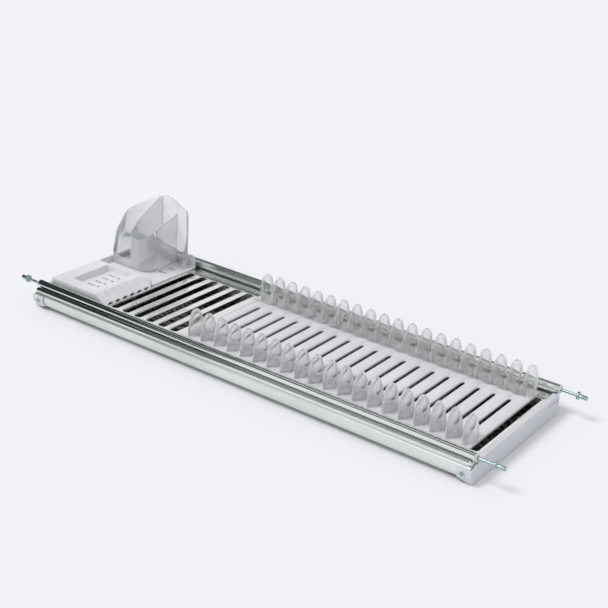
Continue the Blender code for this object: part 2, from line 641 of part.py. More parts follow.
wall_outline = np.concatenate((
    tab_middle,
    ((rear_face - PANEL_CHAMFER_RUN, -AXIS_HEIGHT), (rear_face, PANEL_CHAMFER_RISE - AXIS_HEIGHT)),
    arc((TUBE_SPACING, 0), notch, 180 + rear_notch_angle, 180 + shoulder_angle, 5),
    arc((0, 0), notch, -shoulder_angle, -100, 6),
    arc(rod_centre, rod_notch, -38, -100, 4),
))
outer_face = -PANEL_OVERHANG
inner_face = outer_face + PANEL_WALL
tab_outline = np.concatenate((tab_outer, tab_inner[::-1]))
rear_tab = ((rear_face - TAB_WALL, -PROFILE_DROP), (rear_face, -PROFILE_DROP), (rear_face, -notch),
            (rear_face - TAB_WALL, -notch))
shoulder_front = notch + GAP
shoulder_back = TUBE_SPACING - notch - GAP
ledge_top = -PROFILE_DROP - TRAY_TOP_GAP - TRAY_WALL - TRAY_RUNNER_GAP
ledge_width = TRAY_SIDE + TRAY_FLANGE - GAP
ledge_front = PROFILE_WALL * 2
ledge_back = TUBE_SPACING - REAR_WEB_FORWARD - PROFILE_WALL
overlap = PANEL_WALL / 2
wedge = ((TAB_FOOT_WIDTH, -AXIS_HEIGHT - TAB_WALL), (TAB_WIDTH + TAB_WALL, -AXIS_HEIGHT - TAB_WALL),
         (TAB_WIDTH + TAB_WALL, TAB_HEM_RISE - AXIS_HEIGHT), (TAB_WIDTH, TAB_HEM_RISE - AXIS_HEIGHT),
         (TAB_FOOT_WIDTH, -AXIS_HEIGHT))
rib_pitch = (shoulder_back - shoulder_front) / (PANEL_RIBS + 1)
for end_name, end_sign in (("left", -1), ("right", 1)):
    place = np.array((end_sign * HALF, FRONT_Y, AXIS_HEIGHT))
    flip = np.array((-end_sign, 1, 1))
    points, faces = prism(wall_outline, outer_face, inner_face)
    panel = make_object(f"end_panel_{end_name}", points * flip + place, faces, PALE_PLASTIC, place, 35)
    extras = [
        prism(tab_outline, outer_face, TAB_WIDTH),
        prism(rear_tab, outer_face + overlap, TAB_WIDTH),
        block((outer_face + overlap, shoulder_front, -SHOULDER_DROP - SHOULDER_WALL),
              (SHOULDER_WIDTH, shoulder_back, -SHOULDER_DROP)),
        block((outer_face + overlap, ledge_front, ledge_top - LEDGE_WALL), (ledge_width, ledge_back, ledge_top)),
    ]
    ribs = [
        block((inner_face - overlap, shoulder_front + i * rib_pitch, ledge_top - LEDGE_WALL / 2),
              (PANEL_RIB_WIDTH, shoulder_front + i * rib_pitch + PANEL_RIB_WALL, -SHOULDER_DROP - SHOULDER_WALL / 2))
        for i in range(1, PANEL_RIBS + 1)
    ]
    points, faces = joined(extras)
    tool = make_object(f"panel_{end_name}_walls", points * flip + place, faces, PALE_PLASTIC)
    combine(panel, tool, "UNION")
    points, faces = joined(ribs)
    tool = make_object(f"panel_{end_name}_ribs", points * flip + place, faces, PALE_PLASTIC)
    combine(panel, tool, "UNION")
    cuts = [
        prism(wedge, -FACE_MID_FORWARD - tab_out - TAB_WALL, 0, axis="Y"),
        block((outer_face - GROOVE_DEPTH, rear_face - GROOVE_LENGTH, -GROOVE_DROP - GROOVE_HEIGHT),
              (outer_face + GROOVE_DEPTH, rear_face + GROOVE_DEPTH, -GROOVE_DROP)),
    ]
    points, faces = joined(cuts)
    tool = make_object(f"panel_{end_name}_cuts", points * flip + place, faces, None)
    combine(panel, tool, "DIFFERENCE")

    # Screws through the front and the rear tab, and the holes they pass
    head = ((0, SCREW_HEAD_RADIUS), (-SCREW_HEAD / 2, SCREW_HEAD_RADIUS), (-SCREW_HEAD, SCREW_HEAD_RADIUS * 0.7))
    screw_profile = (head[2], head[1], head[0], (0, SCREW_RADIUS), (SCREW_LENGTH - SCREW_RADIUS, SCREW_RADIUS),
                     (SCREW_LENGTH, SCREW_RADIUS / 3))
    hole_profile = ((-SCREW_LENGTH, SCREW_RADIUS + GAP), (SCREW_LENGTH, SCREW_RADIUS + GAP))
    front_seat = -FACE_MID_FORWARD - tab_out - GAP
    rear_seat = rear_face + GAP
    for side_name, seat, way, profile_object in (("front", front_seat, 1, front_profile),
                                                 ("rear", rear_seat, -1, rear_profile)):
        turn_about = np.array((1, way, 1))
        spot = np.array((end_sign * (HALF - SCREW_INSET), FRONT_Y + seat, AXIS_HEIGHT - SCREW_DROP))
        points, faces = lathe(screw_profile, SCREW_SIDES, axis="Y")
        screw = make_object(f"screw_{side_name}_{end_name}", points * turn_about + spot, faces, ZINC, spot, 40)
        recess = [block((-RECESS_SPAN / 2, -SCREW_HEAD - RECESS_DEPTH, -RECESS_WIDTH / 2),
                        (RECESS_SPAN / 2, RECESS_DEPTH - SCREW_HEAD, RECESS_WIDTH / 2)),
                  block((-RECESS_WIDTH / 2, -SCREW_HEAD - RECESS_DEPTH, -RECESS_SPAN / 2),
                        (RECESS_WIDTH / 2, RECESS_DEPTH - SCREW_HEAD, RECESS_SPAN / 2))]
        for number, (cut_points, cut_faces) in enumerate(recess):
            tool = make_object(f"recess_{side_name}_{end_name}_{number}", cut_points * turn_about + spot, cut_faces, None)
            combine(screw, tool, "DIFFERENCE")
        points, faces = lathe(hole_profile, SCREW_SIDES, axis="Y")
        hole = make_object(f"hole_{side_name}_{end_name}", points + spot, faces, None)
        combine(panel, hole, "DIFFERENCE")
        combine(profile_object, hole, "DIFFERENCE")

# Deck
deck_front = from_front(DECK_EDGE_GAP)
deck_back = from_front(TUBE_SPACING - DECK_EDGE_GAP)
slot_centres = [from_left(FIRST_SLOT + i * SLOT_PITCH) for i in range(SLOT_COUNT)]
slotted_sheet("slotted_deck", STAINLESS, (DECK_END_GAP - HALF, HALF - DECK_END_GAP), (deck_front, deck_back), DECK_TOP,
              DECK_WALL, DECK_TOP - FLANGE_TOP - GAP, DECK_WALL, False, slot_centres, SLOT_WIDTH,
              (deck_front + FRONT_MARGIN, deck_back - REAR_MARGIN), SLOT_LIP, DECK_WALL,
              (0, (deck_front + deck_back) / 2, DECK_TOP))

# Drip tray, its floor in ridges along X
rim_z = PROFILE_BOTTOM - TRAY_TOP_GAP
tray_x0 = TRAY_SIDE - HALF
tray_y0 = from_front(TRAY_FRONT)
tray_y1 = from_front(TUBE_SPACING - TRAY_BACK_GAP)
floor_y0 = tray_y0 + TRAY_FLANGE / 2 + TRAY_SLOPE
floor_y1 = tray_y1 - TRAY_FLANGE / 2 - TRAY_SLOPE
phase = np.arange(RIDGE_COUNT * 4 + 1) / 4
floor_y = floor_y0 + (floor_y1 - floor_y0) * phase / RIDGE_COUNT
floor_z = rim_z - TRAY_DEPTH + RIDGE_HEIGHT * (1 - np.cos(2 * math.pi * phase)) / 2
rows_y = np.concatenate(((tray_y0, tray_y0 + TRAY_FLANGE / 2), floor_y, (tray_y1 - TRAY_FLANGE / 2, tray_y1)))
rows_z = np.concatenate(((rim_z, rim_z), floor_z, (rim_z, rim_z)))
wall_x = tray_x0 + TRAY_FLANGE
columns_x = np.array((tray_x0, wall_x, wall_x + TRAY_SLOPE, -wall_x - TRAY_SLOPE, -wall_x, -tray_x0))
inside = np.array((0.0, 0.0, 1.0, 1.0, 0.0, 0.0))
grid_x, grid_y = np.meshgrid(columns_x, rows_y)
grid_z = rim_z + (rows_z - rim_z)[:, None] * inside[None, :]
upper = np.stack((grid_x, grid_y, grid_z), axis=-1)
points, faces = shell(upper, upper - (0, 0, TRAY_WALL))
make_object("drip_tray", points, faces, PRESSED, (0, tray_y0, rim_z), 25)

# Plate rack: slotted base, twenty front fins, twenty rear fins, and the low wall between the rear fins
rack_centres = slot_centres[RACK_FIRST_SLOT:RACK_FIRST_SLOT + RACK_SLOTS]
fin_centres = [rack_centres[0] - SLOT_PITCH / 2 + i * SLOT_PITCH for i in range(RACK_SLOTS + 1)]
rack_left = fin_centres[0] - RACK_LEFT_BORDER
rack_right = fin_centres[-1] + RACK_RIGHT_BORDER
rack_top = from_axis(-RACK_TOP_DROP)
rack_place = ((rack_left + rack_right) / 2, from_front((RACK_FRONT + RACK_BACK) / 2), REST)
rack = slotted_sheet("plate_rack", CLEAR_PLASTIC, (rack_left, rack_right), (from_front(RACK_FRONT), from_front(RACK_BACK)),
                     rack_top, RACK_WALL, rack_top - REST, RACK_SKIRT_WALL, True, rack_centres, RACK_SLOT_WIDTH,
                     (from_front(RACK_SLOT_FRONT), from_front(RACK_SLOT_BACK)), (rack_top - REST) / 2, RACK_SKIRT_WALL,
                     rack_place)
rear_fin = [(height, TUBE_SPACING - back, length, width) for height, back, length, width in REAR_FIN]
fins = []
cores = []
for centre in fin_centres:
    for rings in (FRONT_FIN, rear_fin):
        fins.append(dome(rings, FIN_SIDES, centre))
        cores.append(dome((rings[0], *rings[2:4], rings[-1]), CORE_SIDES, centre, FIN_WALL, REST - RACK_WALL,
                          2 * FIN_WALL))
crest = []
for centre in rack_centres:
    for share, rise in zip(STOP_CREST_SHARES, STOP_CREST_RISE):
        crest.append((centre + share * SLOT_PITCH, from_axis(STOP_LOW + rise)))
wall_low = from_axis(-RACK_WALL)
stop_outline = [(fin_centres[0], wall_low), (fin_centres[-1], wall_low), (fin_centres[-1], from_axis(STOP_LOW * 2)),
                *crest[::-1], (fin_centres[0], from_axis(STOP_LOW * 2))]
stop = prism(stop_outline, from_front(STOP_WALL_Y - STOP_WALL / 2), from_front(STOP_WALL_Y + STOP_WALL / 2), axis="Y")
points, faces = joined(fins)
tool = make_object("rack_fins", points, faces, CLEAR_PLASTIC)
combine(rack, tool, "UNION")
points, faces = stop
tool = make_object("rack_stop", points, faces, CLEAR_PLASTIC)
combine(rack, tool, "UNION")
points, faces = joined(cores)
tool = make_object("rack_cores", points, faces, None)
combine(rack, tool, "DIFFERENCE")

# Cutlery cup in plan: its walls' middle lines
cup_left = SOCKET_LEFT + SOCKET_SLOPE + CUP_PLAY + CUP_WALL / 2
cup_wing = SOCKET_RIGHT - SOCKET_SLOPE - CUP_PLAY - CUP_WALL / 2
cup_front = CUP_FRONT + CUP_WALL / 2
cup_back = SOCKET_BACK - SOCKET_SLOPE - CUP_PLAY - CUP_WALL / 2
low_front = cup_front + CUP_STEP
petal = np.concatenate((
    ((DIVIDER_X + CUP_WALL / 4, low_front),),
    arc((cup_left + LEFT_FRONT_ROUNDING, low_front + LEFT_FRONT_ROUNDING), LEFT_FRONT_ROUNDING, 270, 180, 4),
    arc((cup_left + LEFT_BACK_ROUNDING, cup_back - LEFT_BACK_ROUNDING), LEFT_BACK_ROUNDING, 180, 90, 7),
    arc((cup_wing - RIGHT_BACK_ROUNDING, cup_back - RIGHT_BACK_ROUNDING), RIGHT_BACK_ROUNDING, 90, 0, 5),
    ((cup_wing, cup_back - RIGHT_BACK_ROUNDING - WING_TURN),),
))
left_corner = arc((DIVIDER_X + CUP_LEFT_ROUNDING, cup_front + CUP_LEFT_ROUNDING), CUP_LEFT_ROUNDING, 180, 270, 4)
right_corner = arc((CUP_RIGHT - CUP_RIGHT_ROUNDING, cup_front + CUP_RIGHT_ROUNDING), CUP_RIGHT_ROUNDING, 270, 360, 7)
inner = np.concatenate((((DIVIDER_X, cup_back),), left_corner, right_corner, ((CUP_RIGHT_AT_BACK, cup_back),)))
floor_outline = np.concatenate((petal[petal[:, 0] < CUP_RIGHT_AT_BACK], ((CUP_RIGHT_AT_BACK, cup_back),),
                                right_corner[::-1], left_corner[-1:]))

# Cutlery tray: plateau with a sunken well in front and a socket for the cup behind
low = REST
plateau = from_axis(CUTLERY_TOP)
floor_top = low + CUTLERY_WALL
well_x = (WELL_LEFT, WELL_LEFT + WELL_SLOPE, WELL_RIGHT - WELL_SLOPE, WELL_RIGHT, FLANK_TOP)
socket_x = (SOCKET_LEFT, SOCKET_LEFT + SOCKET_SLOPE, SOCKET_RIGHT - SOCKET_SLOPE, SOCKET_RIGHT,
            CUTLERY_RIGHT - DRAFT)
rows = (
    (CUTLERY_FRONT, well_x, False, True), (CUTLERY_FRONT + DRAFT, well_x, False, False),
    (WELL_FRONT, well_x, False, False), (WELL_FRONT + WELL_SLOPE, well_x, True, False),
    (WELL_BACK - WELL_SLOPE, well_x, True, False), (WELL_BACK, well_x, False, False),
    (SOCKET_FRONT, socket_x, False, False), (SOCKET_FRONT + SOCKET_SLOPE, socket_x, True, False),
    (SOCKET_BACK - SOCKET_SLOPE, socket_x, True, False), (SOCKET_BACK, socket_x, False, False),
    (CUTLERY_BACK - DRAFT, socket_x, False, False), (CUTLERY_BACK, socket_x, False, True),
)
under_x = np.array((1, 1, -1, -1, 1, 1, -1, -1)) * CUTLERY_WALL
under_y = np.array((1, 1, -1, -1, 1, 1, -1, -1, 1, 1, -1, -1)) * CUTLERY_WALL
upper = []
lower = []
rim_shares = np.array((0.2, 0.45, 0.7, 0.95))
rim_back = SOCKET_BACK - SOCKET_SLOPE + rim_shares * (CUTLERY_BACK - SOCKET_BACK + SOCKET_SLOPE)
rim_left = CUTLERY_LEFT + (1 - rim_shares[::-1]) * (SOCKET_LEFT + SOCKET_SLOPE - CUTLERY_LEFT)
for number, (y, inner_x, sunk, border) in enumerate(rows):
    x = np.array((CUTLERY_LEFT, CUTLERY_LEFT + DRAFT, *inner_x, CUTLERY_RIGHT))
    z = np.full(8, plateau)
    if sunk:
        z[3:5] = floor_top
    z[0] = low
    z[-1] = low
    if border:
        z[:] = low
    x_under = x + under_x
    y_under = y + under_y[number]
    z_under = np.where(z > low, z - CUTLERY_WALL, low)
    if inner_x is socket_x:
        x_under[:4] = rim_left
        z_under[:4] = low
    if number >= 8:
        y_under = rim_back[number - 8]
        z_under[:] = low
    upper.append(np.stack((from_left(x), np.full(8, from_front(y)), z), axis=-1))
    lower.append(np.stack((from_left(x_under), np.full(8, from_front(y_under)), z_under), axis=-1))
points, faces = shell(np.array(upper), np.array(lower))
tray_place = (from_left((CUTLERY_LEFT + CUTLERY_RIGHT) / 2), from_front((CUTLERY_FRONT + CUTLERY_BACK) / 2), low)
cutlery_tray = make_object("cutlery_tray", points, faces, CLEAR_PLASTIC, tray_place, 35)
flank_run = CUTLERY_RIGHT - FLANK_TOP
rib_outline = (
    (from_left(FLANK_TOP - CUTLERY_WALL), plateau - CUTLERY_WALL / 2),
    (from_left(FLANK_TOP - CUTLERY_WALL), plateau + FLANK_RIB_PROUD / 2),
    (from_left(FLANK_TOP + FLANK_RIB_PROUD), plateau + FLANK_RIB_PROUD),
    (from_left(CUTLERY_RIGHT + FLANK_RIB_PROUD), low + FLANK_RIB_PROUD), (from_left(CUTLERY_RIGHT + FLANK_RIB_PROUD), low),
    (from_left(CUTLERY_RIGHT - CUTLERY_WALL / 2), low),
    (from_left(FLANK_TOP + flank_run / 3), plateau - (plateau - low) / 3 - CUTLERY_WALL / 2),
)
extras = [prism(rib_outline, from_front(FLANK_RIB_FIRST + i * FLANK_RIB_PITCH),
                from_front(FLANK_RIB_FIRST + i * FLANK_RIB_PITCH + FLANK_RIB_WALL), axis="Y")
          for i in range(FLANK_RIBS)]
hook_half = (CUTLERY_RIGHT - DRAFT - HOOK_INSET - HOOK_LEFT) / 2
hook_arc = arc((from_left(HOOK_LEFT + hook_half), from_axis(HOOK_TOP) - hook_half / 2), hook_half, 0, 180, 9)
hook_arc[:, 1] = from_axis(HOOK_TOP) - hook_half / 2 + (hook_arc[:, 1] - hook_arc[0, 1]) / 2
hook_outline = np.concatenate((((from_left(HOOK_LEFT), plateau - CUTLERY_WALL / 2),
                                (from_left(HOOK_LEFT + 2 * hook_half), plateau - CUTLERY_WALL / 2)), hook_arc))
hook_back = CUTLERY_BACK - DRAFT - HOOK_INSET
extras.append(prism(hook_outline, from_front(hook_back - HOOK_WALL), from_front(hook_back), axis="Y"))
kerb_offset = (CUP_WALL + KERB_WALL) / 2 + CUP_PLAY
kerb_path = np.concatenate((((cup_left, cup_front - kerb_offset),),
                            arc((CUP_RIGHT - CUP_RIGHT_ROUNDING, cup_front + CUP_RIGHT_ROUNDING),
                                CUP_RIGHT_ROUNDING + kerb_offset, 270, 360, 9),
                            ((CUP_RIGHT_AT_BACK + kerb_offset + CUP_PLAY, cup_back - CUP_LEFT_ROUNDING),)))
kerb = ribbon(kerb_path + (from_left(0), from_front(0)), KERB_WALL)
extras.append(prism(kerb, floor_top - CUTLERY_WALL / 2, floor_top + KERB_HEIGHT, axis="Z"))
points, faces = joined(extras)
tool = make_object("tray_ribs", points, faces, CLEAR_PLASTIC)
combine(cutlery_tray, tool, "UNION")
drains = []
for column in DRAIN_COLUMNS:
    for row in range(DRAIN_ROWS):
        y = DRAIN_FIRST + row * DRAIN_ROW_PITCH
        drains.append((column, y))
for column in SOCKET_DRAIN_COLUMNS:
    for back in SOCKET_DRAIN_ROWS:
        drains.append((column, SOCKET_FRONT + back))
points, faces = joined([
    block((from_left(x - DRAIN_LENGTH / 2), from_front(y - DRAIN_WIDTH / 2), low - CUTLERY_WALL),
          (from_left(x + DRAIN_LENGTH / 2), from_front(y + DRAIN_WIDTH / 2), floor_top + CUTLERY_WALL))
    for x, y in drains
])
tool = make_object("tray_drains", points, faces, None)
combine(cutlery_tray, tool, "DIFFERENCE")

# Cutlery cup: two upright walls on one floor, the inner one in front of the petal
cup_bottom = floor_top + GAP
place = np.array((from_left(0), from_front(0)))
points, faces = prism(floor_outline + place, cup_bottom, cup_bottom + CUP_FLOOR, axis="Z")
cup_place = (from_left(DIVIDER_X), from_front((cup_front + cup_back) / 2), cup_bottom)
cup = make_object("cutlery_cup", points, faces, CLEAR_PLASTIC, cup_place, 50)
for wall_name, path, rim in (("petal", petal, PETAL_RIM), ("inner", inner, INNER_RIM)):
    path = refined(path, CUP_MESH)
    points, faces = fence(path + place, from_axis(smooth_rim(rim, path)), CUP_WALL, CUP_EASE,
                          cup_bottom + CUP_FLOOR / 2)
    tool = make_object(f"cup_{wall_name}", points, faces, CLEAR_PLASTIC, smooth=50)
    combine(cup, tool, "UNION")
cup_drains = [(x, CUP_FRONT + back) for x in CUP_DRAIN_COLUMNS for back in CUP_DRAIN_ROWS]
cuts = [block((from_left(x - CUP_DRAIN_LENGTH / 2), from_front(y - CUP_DRAIN_WIDTH / 2), cup_bottom - CUP_FLOOR),
              (from_left(x + CUP_DRAIN_LENGTH / 2), from_front(y + CUP_DRAIN_WIDTH / 2), cup_bottom + 2 * CUP_FLOOR))
        for x, y in cup_drains]
points, faces = joined(cuts)
tool = make_object("cup_drains", points, faces, None)
combine(cup, tool, "DIFFERENCE")
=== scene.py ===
# %% [markdown]
# # A dish drainer for the inside of a wall cabinet
# The real drainer is two chromed tubes that hang in the cabinet on sprung pins, a slotted stainless deck between
# two aluminium profiles, a drip tray under it, and three moulded plastic pieces that stand on the deck.
# The CAD model already has every place and every joint. This lesson loads it as a fixed frame and dresses it:
# smooth surfaces worked out with numpy take the place of the faceted solids, and each gets a material for its process.

# %% Load the frame
import math

import bmesh
import bpy
import numpy as np
from mathutils import Matrix, Vector


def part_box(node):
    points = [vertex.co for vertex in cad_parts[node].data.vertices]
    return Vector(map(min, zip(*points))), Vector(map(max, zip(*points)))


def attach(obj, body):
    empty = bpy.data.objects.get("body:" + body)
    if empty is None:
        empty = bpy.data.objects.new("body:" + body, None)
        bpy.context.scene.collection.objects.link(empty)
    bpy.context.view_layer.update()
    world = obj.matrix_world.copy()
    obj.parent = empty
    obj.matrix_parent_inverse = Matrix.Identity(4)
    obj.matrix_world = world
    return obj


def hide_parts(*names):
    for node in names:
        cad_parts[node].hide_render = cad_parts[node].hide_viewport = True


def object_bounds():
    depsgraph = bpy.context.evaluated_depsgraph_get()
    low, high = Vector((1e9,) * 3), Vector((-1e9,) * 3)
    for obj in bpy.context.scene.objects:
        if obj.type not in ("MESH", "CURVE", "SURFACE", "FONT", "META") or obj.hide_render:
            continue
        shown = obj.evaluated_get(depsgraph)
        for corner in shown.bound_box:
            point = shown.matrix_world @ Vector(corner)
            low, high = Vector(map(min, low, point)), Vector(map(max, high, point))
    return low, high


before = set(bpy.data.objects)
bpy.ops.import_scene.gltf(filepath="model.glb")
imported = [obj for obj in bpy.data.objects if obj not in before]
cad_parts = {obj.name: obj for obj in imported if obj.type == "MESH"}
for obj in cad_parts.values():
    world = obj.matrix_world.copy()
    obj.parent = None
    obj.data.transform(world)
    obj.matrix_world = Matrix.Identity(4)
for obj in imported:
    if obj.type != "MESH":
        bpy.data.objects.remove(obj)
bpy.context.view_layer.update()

# %% [markdown]
# ## One way to give a place
# Every size below is in millimetres, measured as on a bench: X from the left end of the tubes, Y back from the axis
# of the front tube, Z up from it. The frame tells where that tube lies, so a piece follows the CAD model by itself.

# %% Places
tube_low, tube_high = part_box("front_tube")
rear_low, rear_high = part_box("rear_tube")
HALF = tube_high.x
FRONT_Y = (tube_low.y + tube_high.y) / 2
REAR_Y = (rear_low.y + rear_high.y) / 2
AXIS_Z = (tube_low.z + tube_high.z) / 2
LENGTH = 2000 * HALF
SPACING = 1000 * (REAR_Y - FRONT_Y)
RADIUS = 500 * (tube_high.y - tube_low.y)
REST = -4.7  # height of the plastic pieces' feet on the deck


def spot(x, y, z):
    """World place of a bench measure: each number divided by 1000, then moved to the front tube's left end."""
    x, y, z = np.broadcast_arrays(np.asarray(x, float), y, z)
    return np.stack((x / 1000 - HALF, y / 1000 + FRONT_Y, z / 1000 + AXIS_Z), axis=-1)


print(f"tubes {LENGTH:.0f} mm long, {SPACING:.0f} mm apart, radius {RADIUS:.1f} mm")

# %% [markdown]
# ## From numbers to a surface
# A surface here is a grid of points, the value of a formula at every pair of two parameters. Whole arrays are
# computed at once. Doubled points at seams and poles are merged and the faces are turned outwards, so that each
# piece is one closed skin that a renderer and an STL file can both use.

# %% Grids and pieces
JOIN_WITHIN = 2e-6  # metres: points nearer than this become one
NO_LENGTH = 1e-7  # metres: an edge shorter than this is taken out
EDGE_FROM = math.radians(50)  # an edge that turns more than this is rounded


def quads(rows, columns, loop_rows=False, loop_columns=False):
    """Corners of each cell of a grid stored row by row; a loop joins the last row or column to the first."""
    r = np.arange(rows if loop_rows else rows - 1)[:, None]
    c = np.arange(columns if loop_columns else columns - 1)[None, :]
    after_r = (r + 1) % rows
    after_c = (c + 1) % columns
    corners = (r * columns + c, r * columns + after_c, after_r * columns + after_c, after_r * columns + c)
    return np.stack(np.broadcast_arrays(*corners), axis=-1).reshape(-1, 4)


def repeated(faces, copies, count):
    """The same faces for several copies of a grid, each copy's corner numbers moved on by its number of points."""
    return (faces[None] + (np.arange(copies) * count)[:, None, None]).reshape(-1, 4)


def make_piece(name, points, faces, material, body, nodes=(), caps=(), smooth=38, thickness=0.0, bevel=0.0):
    """Mesh object from points and four-cornered faces, closed, turned outwards and riding on its body."""
    mesh = bpy.data.meshes.new(name)
    mesh.from_pydata(points.reshape(-1, 3).tolist(), [], faces.tolist() + [list(map(int, cap)) for cap in caps])
    work = bmesh.new()
    work.from_mesh(mesh)
    bmesh.ops.remove_doubles(work, verts=work.verts, dist=JOIN_WITHIN)
    bmesh.ops.dissolve_degenerate(work, dist=NO_LENGTH, edges=work.edges)
    loose = [vertex for vertex in work.verts if not vertex.link_faces]
    bmesh.ops.delete(work, geom=loose, context="VERTS")
    bmesh.ops.recalc_face_normals(work, faces=work.faces)
    if thickness and sum(face.normal.z * face.calc_area() for face in work.faces) < 0:
        bmesh.ops.reverse_faces(work, faces=work.faces)
    work.to_mesh(mesh)
    work.free()
    mesh.shade_smooth()
    mesh.set_sharp_from_angle(angle=math.radians(smooth))
    mesh.materials.append(material)
    piece = bpy.data.objects.new(name, mesh)
    bpy.context.scene.collection.objects.link(piece)
    if thickness:
        wall = piece.modifiers.new("wall", "SOLIDIFY")
        wall.thickness = thickness / 1000
        wall.offset = -1
        wall.use_even_offset = False
    if bevel:
        edge = piece.modifiers.new("edge", "BEVEL")
        edge.width = bevel / 1000
        edge.segments = 2
        edge.limit_method = "ANGLE"
        edge.angle_limit = EDGE_FROM
    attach(piece, body)
    if nodes:
        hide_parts(*nodes)
    return piece


def turned(profile, place, sides, outwards=1):
    """Profile of (distance along X, radius) turned about X: y = r cos a and z = r sin a, round the given place."""
    profile = np.asarray(profile, float)
    angle = 2 * np.pi * np.arange(sides) / sides
    along = np.repeat(profile[:, :1] * outwards, sides, axis=1)
    return spot(place[0] + along, place[1] + profile[:, 1:] * np.cos(angle), place[2] + profile[:, 1:] * np.sin(angle))


def arc(centre, radius, start, end, count):
    """Points (y, z) on a circle between two angles in degrees, 0 pointing back and 90 up."""
    angle = np.radians(np.linspace(start, end, count))
    return np.stack((centre[0] + radius * np.cos(angle), centre[1] + radius * np.sin(angle)), axis=-1)


def sideways(path):
    """Unit steps across a path, longer at its corners by 1 / cos(half the turn), so that a band keeps its width."""
    step = np.diff(path, axis=0)
    step /= np.linalg.norm(step, axis=1, keepdims=True)
    normal = np.stack((-step[:, 1], step[:, 0]), axis=-1)
    before = np.concatenate((normal[:1], normal))
    mitre = before + np.concatenate((normal, normal[-1:]))
    return mitre / np.sum(mitre * before, axis=1, keepdims=True)


def band(path, width):
    """Closed outline of a band of even width along a path: the path moved half the width to either side."""
    offset = sideways(path) * width / 2
    return np.concatenate((path + offset, (path - offset)[::-1]))


def drawn_out(outline, start, end):
    """An outline (y, z) carried from one X to another: a grid of two rows, and its two ends as caps."""
    count = len(outline)
    points = spot(np.array((start, end))[:, None], outline[None, :, 0], outline[None, :, 1])
    return points, quads(2, count, loop_columns=True), (range(count), range(count, 2 * count))


# %% [markdown]
# ## Colours and nodes
# A colour is written as the sRGB hex value that the eye knows, and one function turns it into the linear value that
# the shader mixes with. One more adds a node, and another lets a pattern show in the colour, the roughness and the
# relief at once, so that each material reads as a short list of what it is.

# %% Material helpers


def linear(colour):
    """sRGB hex to linear: c / 12.92 for the darkest part, else ((c + 0.055) / 1.055) to the power 2.4."""
    c = np.array([int(colour[i:i + 2], 16) for i in (1, 3, 5)]) / 255
    return (*np.where(c <= 0.04045, c / 12.92, ((c + 0.055) / 1.055) ** 2.4).tolist(), 1.0)


def add_node(owner, kind, inputs=None, **settings):
    """A node of that kind: settings are its own choices, and an input is a number, a colour or another's output."""
    node = owner.node_tree.nodes.new(kind)
    for key, value in settings.items():
        setattr(node, key, value)
    for key, value in (inputs or {}).items():
        if isinstance(value, bpy.types.NodeSocket):
            owner.node_tree.links.new(value, node.inputs[key])
        else:
            node.inputs[key].default_value = value
    return node


def start_material(name, colour, metallic, roughness, **more):
    """A material with its Principled shader's plain values; its patterns are added after."""
    material = bpy.data.materials.new(name)
    material.use_nodes = True
    shader = material.node_tree.nodes["Principled BSDF"]
    shader.inputs["Base Color"].default_value = linear(colour)
    shader.inputs["Metallic"].default_value = metallic
    shader.inputs["Roughness"].default_value = roughness
    for key, value in more.items():
        shader.inputs[key.replace("_", " ")].default_value = value
    material.diffuse_color = linear(colour)
    return material, shader


def pattern(material, stretch, scale, detail, roughness=0.55):
    """Noise on Object coordinates in metres; stretch above 1 squeezes it along that axis, below 1 draws it out."""
    place = add_node(material, "ShaderNodeTexCoord").outputs["Object"]
    drawn_out_place = add_node(material, "ShaderNodeMapping", {"Vector": place, "Scale": stretch}).outputs["Vector"]
    return add_node(material, "ShaderNodeTexNoise", {"Vector": drawn_out_place, "Scale": scale, "Detail": detail,
                                                     "Roughness": roughness}).outputs["Fac"]


NOISE_SPAN = {"From Min": 0.3, "From Max": 0.7}  # nearly all of a noise's values lie between these two


def imprint(material, shader, value, tones=(), rough=(), depth_mm=0.0, strength=0.0):
    """Lets a pattern show: its value is the way from one tone or roughness to the other, and its relief is in mm."""
    driven = {}
    if tones:
        share = add_node(material, "ShaderNodeMapRange", {"Value": value, **NOISE_SPAN}).outputs["Result"]
        mixed = {0: share, 6: linear(tones[0]), 7: linear(tones[1])}
        driven["Base Color"] = add_node(material, "ShaderNodeMix", mixed, data_type="RGBA").outputs[2]
    if rough:
        driven["Roughness"] = add_node(material, "ShaderNodeMapRange", {
            "Value": value, "To Min": rough[0], "To Max": rough[1], **NOISE_SPAN}).outputs["Result"]
    if depth_mm:
        driven["Normal"] = add_node(material, "ShaderNodeBump", {
            "Height": value, "Distance": depth_mm / 1000, "Strength": strength}).outputs["Normal"]
    for key, result in driven.items():
        material.node_tree.links.new(result, shader.inputs[key])


# %% [markdown]
# ## The metals
# Chrome plating is a mirror on a drawn tube: it shows the room as stripes, broken only by very fine draw lines.
# Zinc plating with a blue passivate is duller and bluish. Anodised aluminium is etched first, which gives an
# even satin, with faint lines from the die along the extrusion. The deck is bright cold-rolled stainless sheet, whose
# rolling grain runs along the coil. Each pattern's scale comes from the real spacing, in lines per metre.

# %% Metal materials
EVEN = (1.0, 1.0, 1.0)  # a pattern that is the same in every direction

chrome, shader = start_material("chrome_plated_drawn_steel", "#DEE3E0", 1.0, 0.07)
draw_lines = pattern(chrome, (0.008, 1.0, 1.0), 70.0, 1.0)  # bands about 14 mm wide: real draw lines are far finer
imprint(chrome, shader, draw_lines, rough=(0.05, 0.09), depth_mm=0.01, strength=0.2)

zinc, shader = start_material("zinc_plated_blue_passivated_steel", "#9FB6B8", 1.0, 0.28)
bloom = pattern(zinc, EVEN, 420.0, 3.0)  # crystals drawn about 2.4 mm across, coarser than real ones
imprint(zinc, shader, bloom, tones=("#8FA9AC", "#BFCDCB"), rough=(0.2, 0.38), depth_mm=0.02, strength=0.4)

